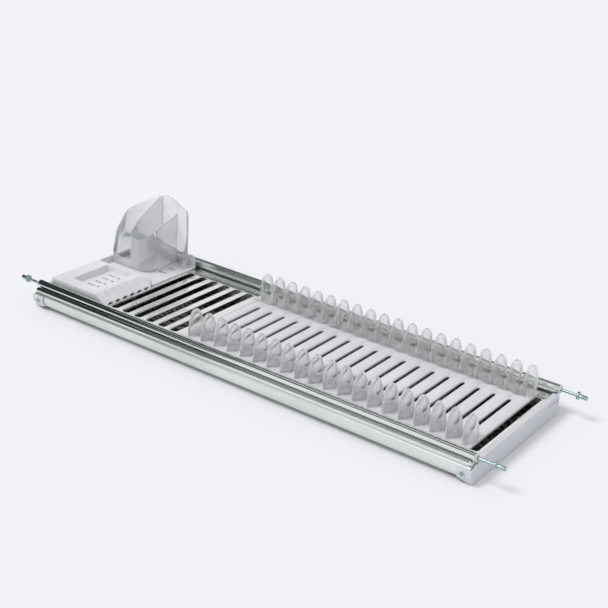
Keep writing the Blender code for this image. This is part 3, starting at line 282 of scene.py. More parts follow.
spring_wire, shader = start_material("cold_drawn_spring_wire", "#85888A", 1.0, 0.3)
oxide = pattern(spring_wire, EVEN, 700.0, 3.0)  # marks about 1.4 mm apart, left by drawing and heat
imprint(spring_wire, shader, oxide, tones=("#6E7274", "#9A9C9C"), rough=(0.24, 0.42))

aluminium, shader = start_material("satin_anodised_aluminium_extrusion", "#E4E8E4", 1.0, 0.34)
die_lines = pattern(aluminium, (0.004, 1.0, 1.0), 1100.0, 4.0)  # about 0.9 mm apart, running the whole length
cloud = pattern(aluminium, (0.5, 1.0, 1.0), 14.0, 2.0)  # soft patches about 70 mm across, from the etching bath
imprint(aluminium, shader, cloud, tones=("#DBE0DB", "#EBEEEB"))
imprint(aluminium, shader, die_lines, rough=(0.28, 0.40), depth_mm=0.01, strength=0.35)

stainless, shader = start_material("bright_cold_rolled_stainless_sheet", "#EAECE8", 1.0, 0.16)
rolling = pattern(stainless, (0.03, 1.0, 1.0), 800.0, 4.0)  # grain about 1.2 mm apart, drawn out along the coil
imprint(stainless, shader, rolling, rough=(0.11, 0.22), depth_mm=0.004, strength=0.4)

pressed, shader = start_material("pressed_stainless_tray_sheet", "#959B97", 1.0, 0.14)
rubbing = pattern(pressed, (0.05, 1.0, 1.0), 650.0, 4.0)  # lines about 1.5 mm apart, where the tool rubbed the sheet
water_marks = pattern(pressed, EVEN, 30.0, 5.0)  # dried drops, patches about 33 mm across
imprint(pressed, shader, water_marks, tones=("#868C88", "#A0A6A2"))
imprint(pressed, shader, rubbing, rough=(0.08, 0.2), depth_mm=0.006, strength=0.4)
print("metals:", [metal.name for metal in (chrome, zinc, spring_wire, aluminium, stainless, pressed)])

# %% [markdown]
# ## The plastics
# The end panels are moulded polypropylene, pale grey and slightly waxy: light enters it a little before it comes back.
# The rack, the tray and the cup are moulded from milky clear plastic. Part of the light passes through, part scatters
# in the wall, so a fin shows its far side as a soft shadow. Faint flow marks from the mould keep it from looking
# like glass. The thin fins are the clearest, then the cup, and the thick base and the tray are the milkiest.

# %% Plastic materials
panel_plastic, shader = start_material("moulded_pale_polypropylene", "#D2D3D9", 0.0, 0.42, IOR=1.49,
                                       Subsurface_Weight=0.15, Subsurface_Scale=0.004)
shader.inputs["Subsurface Radius"].default_value = (1.0, 0.95, 1.0)
mould_grain = pattern(panel_plastic, EVEN, 1600.0, 2.0)  # spark-eroded grain of about 0.6 mm
flow = pattern(panel_plastic, (1.0, 0.25, 1.0), 38.0, 3.0)  # swirls about 26 mm wide, four times as long front to back
imprint(panel_plastic, shader, flow, tones=("#CCCDD4", "#DADBDF"))
imprint(panel_plastic, shader, mould_grain, rough=(0.36, 0.5), depth_mm=0.01, strength=0.3)


def milky(name, first, second, transmission, roughness):
    """Clear moulded plastic with a little milk in it: a wall seen edge-on is a longer way, so it passes less light."""
    material, own_shader = start_material(name, first, 0.0, roughness, IOR=1.45)
    edge_on = add_node(material, "ShaderNodeLayerWeight", {"Blend": 0.35}).outputs["Facing"]
    passed = add_node(material, "ShaderNodeMapRange", {"Value": edge_on, "From Min": 0.1, "From Max": 0.9,
                                                       "To Min": transmission, "To Max": transmission * 0.25})
    material.node_tree.links.new(passed.outputs["Result"], own_shader.inputs["Transmission Weight"])
    marks = pattern(material, (1.0, 0.4, 1.0), 45.0, 4.0)  # flow marks about 22 mm wide
    ripple = pattern(material, (1.0, 0.3, 1.0), 260.0, 2.0)  # shrinkage ripple about 4 mm wide
    imprint(material, own_shader, marks, tones=(first, second), rough=(roughness * 0.75, roughness * 1.35))
    imprint(material, own_shader, ripple, depth_mm=0.02, strength=0.2)
    return material


rack_plastic = milky("moulded_milky_clear_polypropylene", "#DBDAE1", "#E9E8EE", 0.12, 0.16)
fin_plastic = milky("moulded_clear_fin_polypropylene", "#FCFCFD", "#FFFFFF", 0.93, 0.04)
tray_plastic = milky("moulded_milky_tray_polypropylene", "#EAE9EF", "#F7F6FA", 0.2, 0.2)
cup_plastic = milky("moulded_clear_cup_polystyrene", "#F8F8FA", "#FFFFFF", 0.8, 0.07)
print("plastics:", [kind.name for kind in (panel_plastic, rack_plastic, fin_plastic, tray_plastic, cup_plastic)])

# %% [markdown]
# ## The two tubes and the lip rod
# Each tube is a ring section turned about its axis. Its ends are eased by 0.3 mm, because a cut edge in chrome
# always shows as a fine bright line. The thinner rod in front is a rail along the edge, and has domed ends.

# %% Tubes and rod
BORE = RADIUS - 0.8  # inner radius, behind a wall of 0.8 mm
EASE = 0.3
TUBE_SIDES = 64
ROD_SIDES = 48
straight = np.linspace(20.0, LENGTH - 20.0, 25)  # rings along the straight part

end_rows = [(0.0, BORE + EASE), (0.1, RADIUS - EASE), (EASE, RADIUS - 0.03), (1.0, RADIUS)]
far_rows = [(LENGTH - x, r) for x, r in end_rows[::-1]]
inner_rows = [(LENGTH - 0.1, BORE + 0.05), (LENGTH - 1.0, BORE), (1.0, BORE), (0.1, BORE + 0.05)]
tube_profile = end_rows + [(x, RADIUS) for x in straight] + far_rows + inner_rows
for side, y in (("front", 0.0), ("rear", SPACING)):
    points = turned(tube_profile, (0.0, y, 0.0), TUBE_SIDES)
    faces = quads(len(tube_profile), TUBE_SIDES, loop_rows=True, loop_columns=True)
    make_piece(f"{side}_tube_chromed", points, faces, chrome, "frame", (f"{side}_tube",))

rod_low, rod_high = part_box("lip_rod")
ROD = 500 * (rod_high.z - rod_low.z)
rod_y = 500 * (rod_low.y + rod_high.y) - 1000 * FRONT_Y
rod_z = 500 * (rod_low.z + rod_high.z) - 1000 * AXIS_Z
rod_end = 1000 * (rod_low.x + HALF)
turn = np.linspace(0, np.pi / 2, 9)
dome = np.stack((rod_end + ROD * (1 - np.cos(turn)), ROD * np.sin(turn)), axis=-1)
far_dome = np.stack((LENGTH - dome[::-1, 0], dome[::-1, 1]), axis=-1)
rod_profile = np.concatenate((dome, [(x, ROD) for x in straight], far_dome))
make_piece("lip_rod_chromed", turned(rod_profile, (0.0, rod_y, rod_z), ROD_SIDES),
           quads(len(rod_profile), ROD_SIDES, loop_columns=True), chrome, "frame", ("lip_rod",))
print("tube points round:", TUBE_SIDES, "rod radius:", round(ROD, 2))

# %% [markdown]
# ## Sprung pins
# A thin rod with a flange and a tip slides in a bush in each tube end, and a spring inside pushes it out into the
# hole in the cabinet side. Pins and bushes are turned parts, so each is a profile spun round, with the small
# chamfers that a lathe leaves. The spring is a circle carried along a helix.

# %% Pins, bushes and springs
FLANGE_AT = 24.5
# each profile as pairs: the distance out of the tube's end and the radius there
pin_profile = ((-49.3, 0.0), (-49.3, 1.7), (-49.0, 2.0), (-15.3, 2.0), (-15.3, 4.4), (-15.1, 4.6), (-12.5, 4.6),
               (-12.3, 4.4), (-12.3, 2.0), (FLANGE_AT - 0.3, 2.0), (FLANGE_AT, 2.3), (FLANGE_AT, 4.7),
               (FLANGE_AT + 0.15, 5.15), (FLANGE_AT + 0.5, 5.45), (FLANGE_AT + 0.8, 5.5), (FLANGE_AT + 2.5, 5.5),
               (FLANGE_AT + 2.85, 5.4), (FLANGE_AT + 3.0, 5.1), (FLANGE_AT + 3.0, 3.3), (FLANGE_AT + 3.3, 3.0),
               (FLANGE_AT + 13.7, 3.0), (FLANGE_AT + 14.2, 2.8), (FLANGE_AT + 14.5, 2.3), (FLANGE_AT + 14.5, 0.0))
bush_profile = ((0.3, BORE - 0.3), (0.3, 5.6), (0.5, 5.8), (1.5, 5.8), (1.8, 5.5), (1.8, 2.5), (1.6, 2.3), (-12.0, 2.3),
                (-12.0, BORE - 0.3))
PIN_SIDES = 32
BUSH_SIDES = 40
COIL_TURNS = 7
WIRE_SIDES = 8
WIRE = 0.45  # radius of the wire
COIL_FROM, COIL_LONG = 16.05, 35.1  # how deep in the tube the spring begins, and its length
t = np.linspace(0, 1, COIL_TURNS * 24 + 1)[:, None]
ring = 2 * np.pi * np.arange(WIRE_SIDES)[None, :] / WIRE_SIDES
helix_radius = 4.1 + WIRE * np.cos(ring)
coil_caps = (range(WIRE_SIDES), range((len(t) - 1) * WIRE_SIDES, len(t) * WIRE_SIDES))
for end, x, out in (("left", 0.0, -1), ("right", LENGTH, 1)):
    for side, y in (("front", 0.0), ("rear", SPACING)):
        name = f"{side}_{end}"
        make_piece(f"pin_{name}_zinc", turned(pin_profile, (x, y, 0.0), PIN_SIDES, out),
                   quads(len(pin_profile), PIN_SIDES, loop_columns=True), zinc, f"pin_{name}", (f"pin_{name}",))
        make_piece(f"bush_{name}_moulded", turned(bush_profile, (x, y, 0.0), BUSH_SIDES, out),
                   quads(len(bush_profile), BUSH_SIDES, loop_rows=True, loop_columns=True), panel_plastic, "frame",
                   (f"bush_{name}",))
        along = x + out * (-COIL_FROM - COIL_LONG * t + WIRE * np.sin(ring))
        coil = spot(along, y + helix_radius * np.cos(2 * np.pi * COIL_TURNS * t),
                    helix_radius * np.sin(2 * np.pi * COIL_TURNS * t))
        make_piece(f"spring_{name}_wire", coil, quads(len(t), WIRE_SIDES, loop_columns=True), spring_wire,
                   f"pin_{name}", (f"spring_{name}",), coil_caps, 80)
print("pins, bushes and springs:", 3 * 4)

# %% [markdown]
# ## The two aluminium profiles
# An extrusion is one section carried along its length. The front one cradles the tube and the rod, then its face
# swells out and back in to a flange under the deck. Its face is a smooth curve: the distance forward falls off with
# the square of the height away from its fullest place.

# %% Profiles
WALL = 1.6
PLAY = 0.3  # room round the tube and the rod, and at both ends
UNDERSIDE = -28.0  # height of both profiles' lowest face
FULLEST = 11.22  # how far the face swells forward, at its fullest
FULLEST_AT = 0.38  # share of the face's height where that is
rod_centre = (rod_y, rod_z)
face_top = rod_z - (ROD + PLAY + WALL / 2)
flange_z = UNDERSIDE + WALL / 2
share = np.linspace(0.06, 1.0, 22)
swell = FULLEST - np.where(share < FULLEST_AT, 0.35 * ((FULLEST_AT - share) / 0.3) ** 2,
                           3.3 * ((share - FULLEST_AT) / (1 - FULLEST_AT)) ** 2)
face = np.stack((-swell, face_top - (face_top - flange_z) * share), axis=-1)
front_path = np.concatenate((arc((0, 0), RADIUS + PLAY + WALL / 2, 5, -110, 24),
                             arc(rod_centre, ROD + PLAY + WALL / 2, -32, -106, 14), face, ((15.5, flange_z),)))
points, faces, caps = drawn_out(band(front_path, WALL), PLAY, LENGTH - PLAY)
make_piece("front_profile_anodised", points, faces, aluminium, "frame", ("front_profile",), caps, 50)

outer, inner = RADIUS + PLAY + WALL, RADIUS + PLAY
web_front, web_back = 6.7, 6.7 - WALL
front_angle = 180 + math.degrees(math.acos(web_front / outer))
back_angle = 180 + math.degrees(math.acos(web_back / outer))
foot_top = WALL + UNDERSIDE
foot = ((-web_front, foot_top + 0.6), (-web_front - 0.6, foot_top), (-15.8, foot_top), (-16.0, foot_top - 0.2),
        (-16.0, UNDERSIDE + 0.2), (-15.8, UNDERSIDE), (-web_back - 0.4, UNDERSIDE), (-web_back, UNDERSIDE + 0.4))
rear_outline = np.concatenate((arc((0, 0), outer, 175, front_angle, 10), foot,
                               arc((0, 0), outer, back_angle, 320, 20), arc((0, 0), inner, 320, 175, 28)))
points, faces, caps = drawn_out(rear_outline + (SPACING, 0.0), PLAY, LENGTH - PLAY)
make_piece("rear_profile_anodised", points, faces, aluminium, "frame", ("rear_profile",), caps, 50)
print("section points:", len(front_path) * 2, len(rear_outline))

# %% [markdown]
# ## A sheet with slots
# Both the steel deck and the base of the plate rack are a sheet with a row of slots. The columns of the grid follow
# the edges of the slots: they lie a full half width from a slot's middle, and draw together where the slot ends, by
# the sine of the way into it, which rounds it. The cells inside a slot are left out, and the edge turns down as a lip.

# %% Slotted sheets


def slotted_sheet(centres, half_width, slot_y, rounding, edges_x, edges_y, between, height, lip, roll, skirt):
    """Grid of a slotted sheet with lips round its slots and a skirt round its edge, and the faces to keep.

    Across, x = middle of the slot +- (half width * f + distance from the edge), where f is 1 along the slot and falls
    to 0 at its ends. The height is that of the sheet less the deepest of the lip, the edge's rounding and the skirt.
    """
    turn_in = np.linspace(0, np.pi / 2, 7)
    start_rows = slot_y[0] + rounding * (1 - np.cos(turn_in))
    end_rows = slot_y[1] - rounding * (1 - np.cos(turn_in))[::-1]
    edge_drop = np.array((skirt, roll, roll * 0.35, 0.0))
    edge_in = np.array((0.0, 0.0, roll * 0.3, roll))
    y = np.concatenate((edges_y[0] + edge_in, np.linspace(edges_y[0] + roll, slot_y[0], 12)[1:-1], start_rows,
                        np.linspace(start_rows[-1], end_rows[0], 40)[1:-1], end_rows,
                        np.linspace(slot_y[1], edges_y[1] - roll, 12)[1:-1], (edges_y[1] - edge_in)[::-1]))
    drop_y = np.concatenate((edge_drop, np.zeros(len(y) - 8), edge_drop[::-1]))
    way_in = np.clip(np.minimum(y - slot_y[0], slot_y[1] - y) / rounding, 0, 1)
    f = np.sqrt(np.clip(1 - (1 - way_in) ** 2, 0, 1))
    aside = np.array((0.0, 0.0, roll * 0.3, roll))
    lip_drop = np.array((lip, roll, roll * 0.35, 0.0))
    least, hair = 0.12, 0.1  # where a slot ends, its columns lie this near each other and to its middle
    bundle = least * np.arange(4)
    right = half_width * f[:, None] + np.maximum(aside[None, :] * f[:, None], bundle) + hair
    slot_x = np.concatenate((-right[:, ::-1], right), axis=1)
    slot_drop = np.concatenate((lip_drop[::-1], lip_drop))[None, :] * f[:, None]
    count = len(centres)
    group = slot_x[:, None, :] + np.asarray(centres)[None, :, None]
    starts = np.concatenate((np.full((len(y), 1), edges_x[0] + roll), group[:, :, -1]), axis=1)
    ends = np.concatenate((group[:, :, 0], np.full((len(y), 1), edges_x[1] - roll)), axis=1)
    filled = starts[:, :, None] + (ends - starts)[:, :, None] * between[None, None, :]
    rows = len(y)
    per = len(between)
    lead = np.broadcast_to(edges_x[0] + edge_in, (rows, 4))
    tail = np.broadcast_to((edges_x[1] - edge_in)[::-1], (rows, 4))
    pairs = np.concatenate((filled[:, :-1], group), axis=2).reshape(rows, -1)
    x = np.concatenate((lead, pairs, filled[:, -1], tail), axis=1)
    none = np.zeros((rows, count, per))
    drops = np.concatenate((none, np.broadcast_to(slot_drop[:, None, :], (rows, count, 8))), axis=2).reshape(rows, -1)
    drop_x = np.concatenate((np.broadcast_to(edge_drop, (rows, 4)), drops, np.zeros((rows, per)),
                             np.broadcast_to(edge_drop[::-1], (rows, 4))), axis=1)
    columns = x.shape[1]
    y_grid = np.repeat(y[:, None], columns, axis=1)
    z = height(x, y_grid) - np.maximum(drop_x, drop_y[:, None])
    first_open = 4 + per + 3 + (per + 8) * np.arange(count)
    open_cell = np.zeros((rows - 1, columns - 1), bool)
    inside = (way_in[:-1] > 0) | (way_in[1:] > 0)
    open_cell[np.ix_(inside, first_open)] = True
    faces = quads(rows, columns)[~open_cell.reshape(-1)]
    return spot(x, y_grid, z), faces


# %% [markdown]
# ## The stainless deck
# The deck is 0.8 mm sheet with 32 slots across it. Its front and back edges turn down onto the profiles' flanges,
# and every slot has a small lip, which stiffens the sheet and leads the water down.

# %% Deck
PITCH = 22.9
SLOTS = 32
FIRST_SLOT = (LENGTH - (SLOTS - 1) * PITCH) / 2
DECK_TOP = -5.0
slot_centres = FIRST_SLOT + PITCH * np.arange(SLOTS)


def deck_height(x, y):
    """Level sheet, whose rear margin falls by 1.6 mm towards the rear tube so that water runs off it."""
    return DECK_TOP - 1.6 * np.clip((y - (SPACING - 31.0)) / 22.0, 0, 1) + 0 * x


points, faces = slotted_sheet(slot_centres, half_width=5.5, slot_y=(20.0, SPACING - 33.0), rounding=3.0,
                              edges_x=(5.3, LENGTH - 5.3), edges_y=(8.6, SPACING - 8.6),
                              between=np.array((0.25, 0.5, 0.75)), height=deck_height, lip=2.5, roll=0.5, skirt=20.3)
deck = make_piece("slotted_deck_stainless", points, faces, stainless, "deck", ("slotted_deck",),
                  thickness=0.8)
print("deck faces:", len(deck.data.polygons))

# %% [markdown]
# ## The drip tray
# A shallow pressed tray slides in under the deck. Its floor is pressed in eleven ridges, a cosine across the tray,
# so that the water runs along them and the thin sheet stays flat.

# %% Drip tray
RIM_Z = -28.6
RIDGES = 11
RIDGE_HEIGHT = 1.8
TRAY_DEPTH = 4.8
left_x, right_x = 18.6, LENGTH - 18.6
front_y, back_y = 2.0, SPACING - 9.5
across = right_x - left_x
deep = back_y - front_y
rim_x = np.array((0.0, 2.9, 5.6, 6.4, 7.6))  # closer columns and rows where the rim bends down
rim_y = np.array((0.0, 1.4, 2.6, 3.4, 4.6))
u = np.concatenate((rim_x, np.linspace(10.5, across - 10.5, 30), across - rim_x[::-1]))
v = np.concatenate((rim_y, np.linspace(7.5, deep - 7.5, 133), deep - rim_y[::-1]))
down_x = np.clip((np.minimum(u, u[-1] - u) - 6.0) / 4.5, 0, 1)
down_y = np.clip((np.minimum(v, v[-1] - v) - 3.0) / 4.5, 0, 1)
ridge = RIDGE_HEIGHT * (1 - np.cos(2 * np.pi * RIDGES * np.clip((v - 7.5) / (v[-1] - 15.0), 0, 1))) / 2
depth = (TRAY_DEPTH - ridge)[:, None] * np.minimum(down_x[None, :], down_y[:, None])
points = spot(left_x + u[None, :], (front_y + v)[:, None], RIM_Z - depth)
make_piece("drip_tray_pressed", points, quads(len(v), len(u)), pressed, "drip_tray",
           ("drip_tray",), thickness=0.8)
print("drip tray grid:", points.shape[:2])

# %% [markdown]
# ## The plate rack: base
# The rack is one clear moulding. Between its slots the base swells into long rounded fingers, which stiffen it and
# lead the water to the slots. A finger's height is an ellipse across it, and its ends are rounded in plan:
# crown * sqrt(1 - r^2), where r joins the share of the half width with the share of the rounding at the end.

# %% Plate rack base
FINS = 20
rack_centres = FIRST_SLOT + PITCH * np.arange(12, 12 + FINS - 1)  # the rack starts over the deck's thirteenth slot
fin_centres = rack_centres[0] - PITCH / 2 + PITCH * np.arange(FINS)
FINGER = 8.9  # half width of a finger
FINGER_FRONT, FINGER_BACK = 24.0, 172.0  # where its ends begin to round off
FINGER_END = 8.0
GROOVE_Z = -1.5
CROWN = 2.4
CLEAR_FROM = 177.0  # behind this place the moulding is as thin and clear as its fins


def rack_height(x, y):
    """Groove level plus the elliptic crown of the nearest finger, rounded off at both its ends."""
    nearest = np.clip(np.round((x - fin_centres[0]) / PITCH), 0, FINS - 1)
    off_middle = (x - fin_centres[0] - nearest * PITCH) / FINGER
    past = (np.maximum(y - FINGER_BACK, 0) + np.maximum(FINGER_FRONT - y, 0)) / FINGER_END
    return GROOVE_Z + CROWN * np.sqrt(np.clip(1 - off_middle ** 2 - past ** 2, 0, 1))


finger_share = (1 + np.sin(np.radians(np.linspace(-78, 78, 13)))) / 2
points, faces = slotted_sheet(rack_centres, half_width=2.45, slot_y=(54.0, SPACING - 68.0), rounding=7.0,
                              edges_x=(fin_centres[0] - 16.5, fin_centres[-1] + 9.0), edges_y=(15.2, SPACING - 23.4),
                              between=finger_share, height=rack_height, lip=2.0, roll=0.7, skirt=GROOVE_Z - REST)
base = make_piece("plate_rack_base", points, faces, rack_plastic, "plate_rack", ("plate_rack",),
                  thickness=1.8)
base.data.materials.append(fin_plastic)
middles = np.empty(3 * len(base.data.polygons))
base.data.polygons.foreach_get("center", middles)
behind = middles[1::3] > FRONT_Y + CLEAR_FROM / 1000
base.data.polygons.foreach_set("material_index", behind.astype(np.int32))
print("rack base faces:", len(base.data.polygons), "clear ones behind the fingers:", int(behind.sum()))

# %% [markdown]
# ## The plate rack: fins
# Twenty hollow fins stand in front and twenty behind, one of each at every finger. A fin is a stack of
# ovals: its height, its middle and its two half widths are smooth functions of one parameter from foot to tip, each
# given by a cubic through a few measured places. The inner skin is the same shape, one wall thickness smaller.

# %% Fins


def through(places, values, at):
    """Smooth curve through the values: a cubic between each two places, with the mean slope at every place."""
    places, values = np.asarray(places, float), np.asarray(values, float)
    slope = (values[2:] - values[:-2]) / (places[2:] - places[:-2])
    slope = np.concatenate((slope[:1], slope, slope[-1:]))
    i = np.clip(np.searchsorted(places, at, side="right") - 1, 0, len(places) - 2)
    span = places[i + 1] - places[i]
    s = (at - places[i]) / span
    rise = values[i] * (2 * s ** 3 - 3 * s ** 2 + 1) + values[i + 1] * (3 * s ** 2 - 2 * s ** 3)
    return rise + span * (slope[i] * (s ** 3 - 2 * s ** 2 + s) + slope[i + 1] * (s ** 3 - s ** 2))


def fin_skin(rings, shrink, rows, sides):
    """One skin of a fin: ovals of z(t), middle y(t), half length a(t) and half width b(t), all less the shrink."""
    rings = np.asarray(rings, float)
    places = np.linspace(0, 1, len(rings))
    at = 1 - (1 - np.linspace(0, 1, rows)) ** 1.35
    z, y, a, b = (through(places, rings[:, i], at) for i in range(4))
    z = z[0] + (z - z[0]) * (1 - shrink / (z[-1] - z[0]))
    tip = np.sqrt(np.clip(1 - at ** 6, 0, 1))
    a = np.clip(a - shrink, 0.0, None) * tip
    b = np.clip(b - shrink, 0.0, None) * tip
    angle = 2 * np.pi * np.arange(sides) / sides
    return b[:, None] * np.cos(angle), y[:, None] + a[:, None] * np.sin(angle), np.repeat(z[:, None], sides, axis=1)


def fins(rings, wall, rows=26, sides=40):
    """A row of hollow fins: the outer skin from foot to tip and the inner one back, joined at the foot."""
    out = fin_skin(rings, 0.0, rows, sides)
    into = fin_skin(rings, wall, rows, sides)
    x, y, z = (np.concatenate((first, second[::-1])) for first, second in zip(out, into))
    faces = quads(2 * rows, sides, loop_rows=True, loop_columns=True)
    faces = np.delete(faces, np.arange((rows - 1) * sides, rows * sides), axis=0)
    points = spot(fin_centres[:, None, None] + x, y, z)
    return points, repeated(faces, len(fin_centres), 2 * rows * sides)


# a fin's ovals from foot to tip, each with its height, its middle, its half length and its half width
FRONT_FIN = ((-0.9, 33.5, 17.3, 8.5), (4.5, 33.0, 16.3, 8.3), (10.0, 32.5, 15.0, 8.1), (20.0, 31.5, 12.2, 7.7),
             (29.0, 31.0, 9.0, 6.6), (34.3, 30.8, 6.2, 4.9), (37.2, 30.8, 3.0, 2.5))
REAR_FIN = ((-0.9, 192.7, 12.1, 8.7), (6.0, 192.6, 11.8, 8.6), (12.0, 192.6, 11.3, 8.5), (23.0, 192.3, 10.5, 8.3),
            (32.5, 192.0, 8.8, 7.5), (38.2, 192.0, 6.6, 5.8), (41.4, 192.0, 3.4, 3.0))
FIN_WALL = 1.4
rear_shift = np.array((0.0, SPACING - 230.0, 0.0, 0.0))  # the rear rings were measured at a spacing of 230 mm
for name, rings in (("front", FRONT_FIN), ("rear", REAR_FIN + rear_shift)):
    points, faces = fins(np.asarray(rings), FIN_WALL)
    make_piece(f"plate_rack_{name}_fins", points, faces, fin_plastic, "plate_rack", smooth=60)
print("fins:", 2 * FINS)

# %% [markdown]
# ## The plate rack: stop wall
# A low wavy wall stands in front of the rear fins, as a stop. Its crest is lowest at each slot and rises towards the
# fins. It could be cut out of a flat sheet, but a section with a half-round top, carried along with the crest as a
# function of the distance from the nearest slot, comes out smooth at once.

# %% Stop wall
STOP_HALF = 0.9  # half its thickness
STOP_Y = SPACING - 48.2
STOP_FOOT = -1.6
SECTION = 9
stop_x = np.linspace(fin_centres[0], fin_centres[-1], (FINS - 1) * 24 + 1)
from_slot = (stop_x - rack_centres[0] + PITCH / 2) % PITCH - PITCH / 2
crest = 13.0 + through((0.0, 2.5, 4.8, 6.9, 11.5), (0.0, 0.7, 3.6, 10.5, 12.6), np.abs(from_slot))
section_y = np.array((-0.9, -0.9, -0.78, -0.45, 0.0, 0.45, 0.78, 0.9, 0.9))
z = crest[:, None] - STOP_HALF * (1 - np.sqrt(np.clip(1 - (section_y / STOP_HALF) ** 2, 0, 1)))[None, :]
z[:, 0] = STOP_FOOT
z[:, -1] = STOP_FOOT
points = spot(stop_x[:, None], STOP_Y + section_y[None, :], z)
stop_caps = (range(SECTION), range((len(stop_x) - 1) * SECTION, len(stop_x) * SECTION))
make_piece("plate_rack_stop_wall", points, quads(len(stop_x), SECTION, loop_columns=True), fin_plastic, "plate_rack",
           caps=stop_caps, smooth=60)
print("stop wall from", round(float(crest.min()), 1), "to", round(float(crest.max()), 1), "mm high")

# %% [markdown]
# ## The cutlery tray
# The tray is a moulded sheet: a plateau with a sunken well, a deep socket for the cup and a sloping flank with ribs.
# It could be cut from a block, but a height for every point of one grid keeps its wall even, as moulding does.
# The grid's lines lie closer where an edge bends, and some follow the edges of the drains.

# %% Cutlery tray


def step(value, start, end):
    """Smooth step from 0 at start to 1 at end: 3s^2 - 2s^3."""
    s = np.clip((value - start) / (end - start), 0, 1)
    return s * s * (3 - 2 * s)


def plateau_between(value, start, end, slope):
    """1 between two edges and 0 outside them, each edge a smooth step of the given slope width."""
    return step(value, start, start + slope) * (1 - step(value, end - slope, end))


TRAY_X = (5.9, 117.5)
TRAY_Y = (17.0, SPACING - 13.0)
TOP = 7.0
FLOOR = REST + 1.5
FLANK_X = 96.0
RIB_FIRST, RIB_PITCH, RIB_HALF, RIB_HEIGHT, RIBS = 27.5, 15.2, 5.4, 2.4, 6
DRAIN = np.array((7.0, 1.5))  # half length and half width of a drain slot
drain_columns = np.array((50.5, 68.5))
drain_rows = 55.5 + 14.7 * np.arange(4)
socket_back = SPACING - 15.6
socket_front = socket_back - 99.6
socket_columns = np.array((30.0, 66.0, 96.0))
socket_rows = socket_front + np.array((11.2, 50.2, 70.2))


def both_edges(middles_of_drains, half):
    """The two edges of each drain, as one flat list."""
    return (middles_of_drains[:, None] + np.array((-half, half))).reshape(-1)


outer_edge = np.array((0.0, 0.15, 0.5, 1.0, 1.6))
x = np.unique(np.round(np.concatenate((
    TRAY_X[0] + outer_edge, np.linspace(8.0, 11.0, 7), np.linspace(29.4, 33.6, 9), np.linspace(79.4, 83.6, 9),
    np.linspace(94.0, 117.5, 48), np.linspace(11.0, 94.0, 56), both_edges(drain_columns, DRAIN[0]),
    both_edges(socket_columns, DRAIN[0]))), 3))
x = x[x <= TRAY_X[1]]
y = np.unique(np.round(np.concatenate((
    TRAY_Y[0] + outer_edge, np.linspace(17.0, 105.0, 133), np.linspace(105.0, 117.0, 33),
    np.linspace(117.0, TRAY_Y[1] - 4.0, 56), np.linspace(TRAY_Y[1] - 4.0, TRAY_Y[1], 13),
    both_edges(drain_rows, DRAIN[1]), both_edges(socket_rows, DRAIN[1]))), 3))
grid_x, grid_y = np.meshgrid(x, y)
print("cutlery tray grid:", grid_x.shape)

# %% [markdown]
# ## The tray: hollows, flank and ribs
# The height is the plateau less each hollow, less the flank that falls to the deck, plus the ribs on it. A hollow is
# the product of two smooth steps, across and along it, and a smooth step 3s^2 - 2s^3 rounds every edge, as a mould
# does. A rib is half an ellipse.

# %% Hollows, flank and ribs
well = plateau_between(grid_x, 29.6, 83.4, 3.8) * step(grid_y, 34.0, 53.5) * (1 - step(grid_y, 107.6, 111.4))
socket = step(grid_x, 7.9, 9.5) * plateau_between(grid_y, socket_front - 0.4, SPACING - 15.0, 1.6)
in_front = 1 - step(grid_y, socket_front - 2.6, socket_front - 0.4)
flank = step(grid_x, FLANK_X - 0.5, FLANK_X + 0.5) * np.clip((grid_x - FLANK_X) / 21.5, 0, 1) * in_front
rib_phase = (grid_y - RIB_FIRST) / RIB_PITCH
from_rib = (rib_phase - np.clip(np.round(rib_phase), 0, RIBS - 1)) * RIB_PITCH
rib = RIB_HEIGHT * np.sqrt(np.clip(1 - (from_rib / RIB_HALF) ** 2, 0, 1)) * step(grid_x, 93.5, 99.5) * in_front
z = TOP - (TOP - FLOOR) * np.maximum(well, socket) - (TOP - REST) * flank + rib

from_side = np.minimum(grid_x - TRAY_X[0], TRAY_X[1] - grid_x + 40 * in_front)  # the flank's foot has no rounded edge
edge = np.minimum(from_side, np.minimum(grid_y - TRAY_Y[0], TRAY_Y[1] - grid_y))
z = np.where(edge < 1.6, z - 1.2 * (1 - np.sqrt(np.clip(1 - (1 - edge / 1.6) ** 2, 0, 1))), z)
z = np.where(edge < 0.01, REST, z)
z = np.maximum(z, REST)

# a kerb in the socket follows the cup's foot: a quarter circle in front, then a line that leans by 0.09
kerb_turn = socket_front + 44.7
from_corner = np.hypot(np.maximum(grid_x - 66.0, 0), np.maximum(kerb_turn - grid_y, 0)) - 22.1
kerb_distance = np.where(grid_y < kerb_turn, from_corner, grid_x - (88.4 - 0.09 * (grid_y - 159.5)))
kerb = np.sqrt(np.clip(1 - (kerb_distance / 1.1) ** 2, 0, 1))
kerb = kerb * (grid_y < SPACING - 17.5) * (grid_y > socket_front + 18.0)
z = z + 2.5 * kerb * (socket > 0.99)
print("lowest and highest:", round(float(z.min()), 2), round(float(z.max()), 2))

# %% [markdown]
# ## The tray: drains and hook
# A drain is a hole through the sheet: its cells are left out, and the wall's thickness gives it its sides. The arched
# hook at the back is an outline carried over a few millimetres.

# %% Drains, and the tray as a piece
mid_x = (grid_x[1:, 1:] + grid_x[:-1, :-1]) / 2
mid_y = (grid_y[1:, 1:] + grid_y[:-1, :-1]) / 2


def within(columns, rows):
    """The cells whose middle lies inside one of the drains at these columns and rows."""
    inside_x = (np.abs(mid_x[..., None] - columns) < DRAIN[0]).any(-1)
    return inside_x & (np.abs(mid_y[..., None] - rows) < DRAIN[1]).any(-1)


